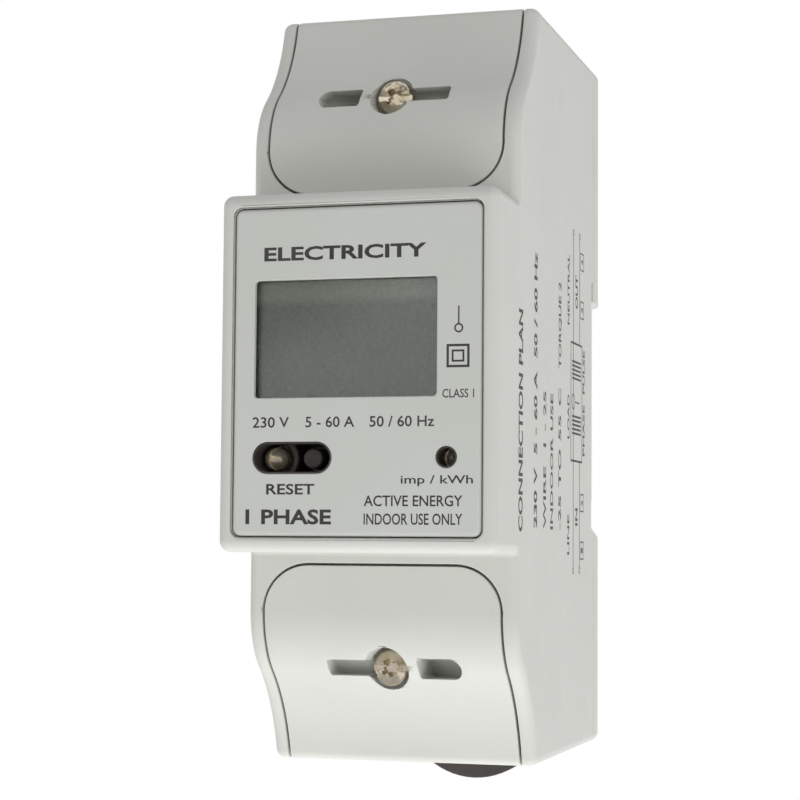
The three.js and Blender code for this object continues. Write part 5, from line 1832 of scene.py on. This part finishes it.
@dataclass
class Studio:
    """Camera, soft light and pale floor.

    Attributes:
        camera_at: place of the camera in metres.
        camera_turn: its rotation in degrees.
        lens: focal length in millimetres.
        floor_z: height of the floor in metres.
        floor_half: half of the floor's side in metres.
        surround: strength of the even light from all around.
        patches: low and high strength of what shiny pieces reflect.
    """

    camera_at: tuple[float, float, float] = (0.0785452, -0.3091264, -0.0220750)
    camera_turn: tuple[float, float, float] = (94.01946, -0.41571, 16.20979)
    lens: float = 95.958
    floor_z: float = -0.16
    floor_half: float = 0.2
    surround: float = 0.635
    patches: tuple[float, float] = (0.2, 1.4)

    def build_camera(self) -> None:
        """Adds the camera and makes it the scene's."""
        data = bpy.data.cameras.new("camera")
        data.lens, data.sensor_width, data.clip_start = self.lens, 36, 0.01
        camera = bpy.data.objects.new("camera", data)
        camera.location = self.camera_at
        camera.rotation_euler = Euler([math.radians(v) for v in self.camera_turn])
        bpy.context.scene.collection.objects.link(camera)
        bpy.context.scene.camera = camera

    def build_light(
        self, name: str, at: Sequence[float], size: float, power: float, target: Sequence[float]
    ) -> None:
        """Adds a square soft light that faces a target.

        Args:
            name: name of the light.
            at: its place in metres.
            size: its side in metres.
            power: its power in watts.
            target: the point that it faces.
        """
        data = bpy.data.lights.new(name, "AREA")
        data.size, data.energy = size, power
        light = bpy.data.objects.new(name, data)
        light.location = at
        x, y, z = np.array(target) - np.array(at)
        yaw, pitch = math.atan2(x, -y), math.atan2(-z, math.hypot(x, y))
        light.rotation_euler = Euler((math.pi / 2 - pitch, 0, yaw + math.pi))
        light.visible_camera = light.visible_glossy = False
        bpy.context.scene.collection.objects.link(light)

    def build_world(self) -> None:
        """White surround for the camera, an even one for light, and a patchy one for reflections."""
        world = bpy.data.worlds.new("studio")
        bpy.context.scene.world = world
        world.use_nodes = True
        tree = world.node_tree
        tree.nodes.clear()
        plain = (1, 1, 1, 1)
        where = add_node(tree, "ShaderNodeTexCoord").outputs["Generated"]
        cloud = add_node(tree, "ShaderNodeTexNoise", {"Vector": where, "Scale": 7.0, "Detail": 0.0})
        patches = ramp(tree, cloud.outputs[0], *self.patches, 0.44, 0.58)
        path = add_node(tree, "ShaderNodeLightPath").outputs
        strength = ramp(tree, path["Is Glossy Ray"], self.surround, patches, 0, 1)
        soft = add_node(tree, "ShaderNodeBackground", {"Color": plain, "Strength": strength})
        white = add_node(tree, "ShaderNodeBackground", {"Color": plain, "Strength": 1.0})
        inputs = {0: path["Is Camera Ray"], 1: soft.outputs[0], 2: white.outputs[0]}
        both = add_node(tree, "ShaderNodeMixShader", inputs)
        add_node(tree, "ShaderNodeOutputWorld", {"Surface": both.outputs[0]})

    def build_floor(self) -> None:
        """Adds the pale floor some way below the meter, which hangs on its rail."""
        half, top = self.floor_half / MM, self.floor_z / MM
        floor = to_object("floor", block((-half, half), (-half, half), (top - 4, top)))
        paper = Moulded("floor_paper", "none", "F4F4F2", "F0F0EE", 0.8, grain_mm=2.0)
        floor.data.materials.append(paper.material())

    def build(self) -> None:
        """Sets up the whole studio."""
        self.build_camera()
        self.build_world()
        self.build_floor()
        self.build_light("key", (0.42, -0.46, -0.32), 0.35, 1.21, (0, -0.02, 0))
        self.build_light("under", (0, 0, self.floor_z + 0.002), 0.4, 0.62, (0, -0.0001, 0))
        bpy.context.scene.view_settings.view_transform = "Standard"


def main() -> None:
    """Builds every sub-assembly in order."""
    logging.basicConfig(level=logging.INFO, format="%(message)s")
    form = Form()
    housing = Housing(form)
    housing.dress()
    Front(form, housing).dress()
    for end in End:
        label = end.label
        cover_screw = f"{label}_cover_screw"
        TerminalCover(form, end).dress()
        Screw(f"{label}_seal_screw", cover_screw, cover_screw, 2.4, 1.85, 1.4, 0.5, camber=0.3).dress()
        for side in ("left", "right"):
            node, body = f"{label}_{side}_terminal_screw", f"{label}_{side}_screw"
            Screw(f"{node}_turned", node, body, 3.3, 2.7, 1.95, 0.8, finish=ZINC, turn=45).dress()
    for node in CASE_SCREWS:
        Screw(
            f"{node}_turned", node, "housing", 2.6, 1.8, 1.25, 0.9,
            drive=Drive.CROSS, turn=45, backwards=True, finish=ZINC,
        ).dress()
    Terminals().dress()
    RailClip().dress()
    Print().dress()
    dress_carried()
    Studio().build()


if __name__ == "__main__":
    main()
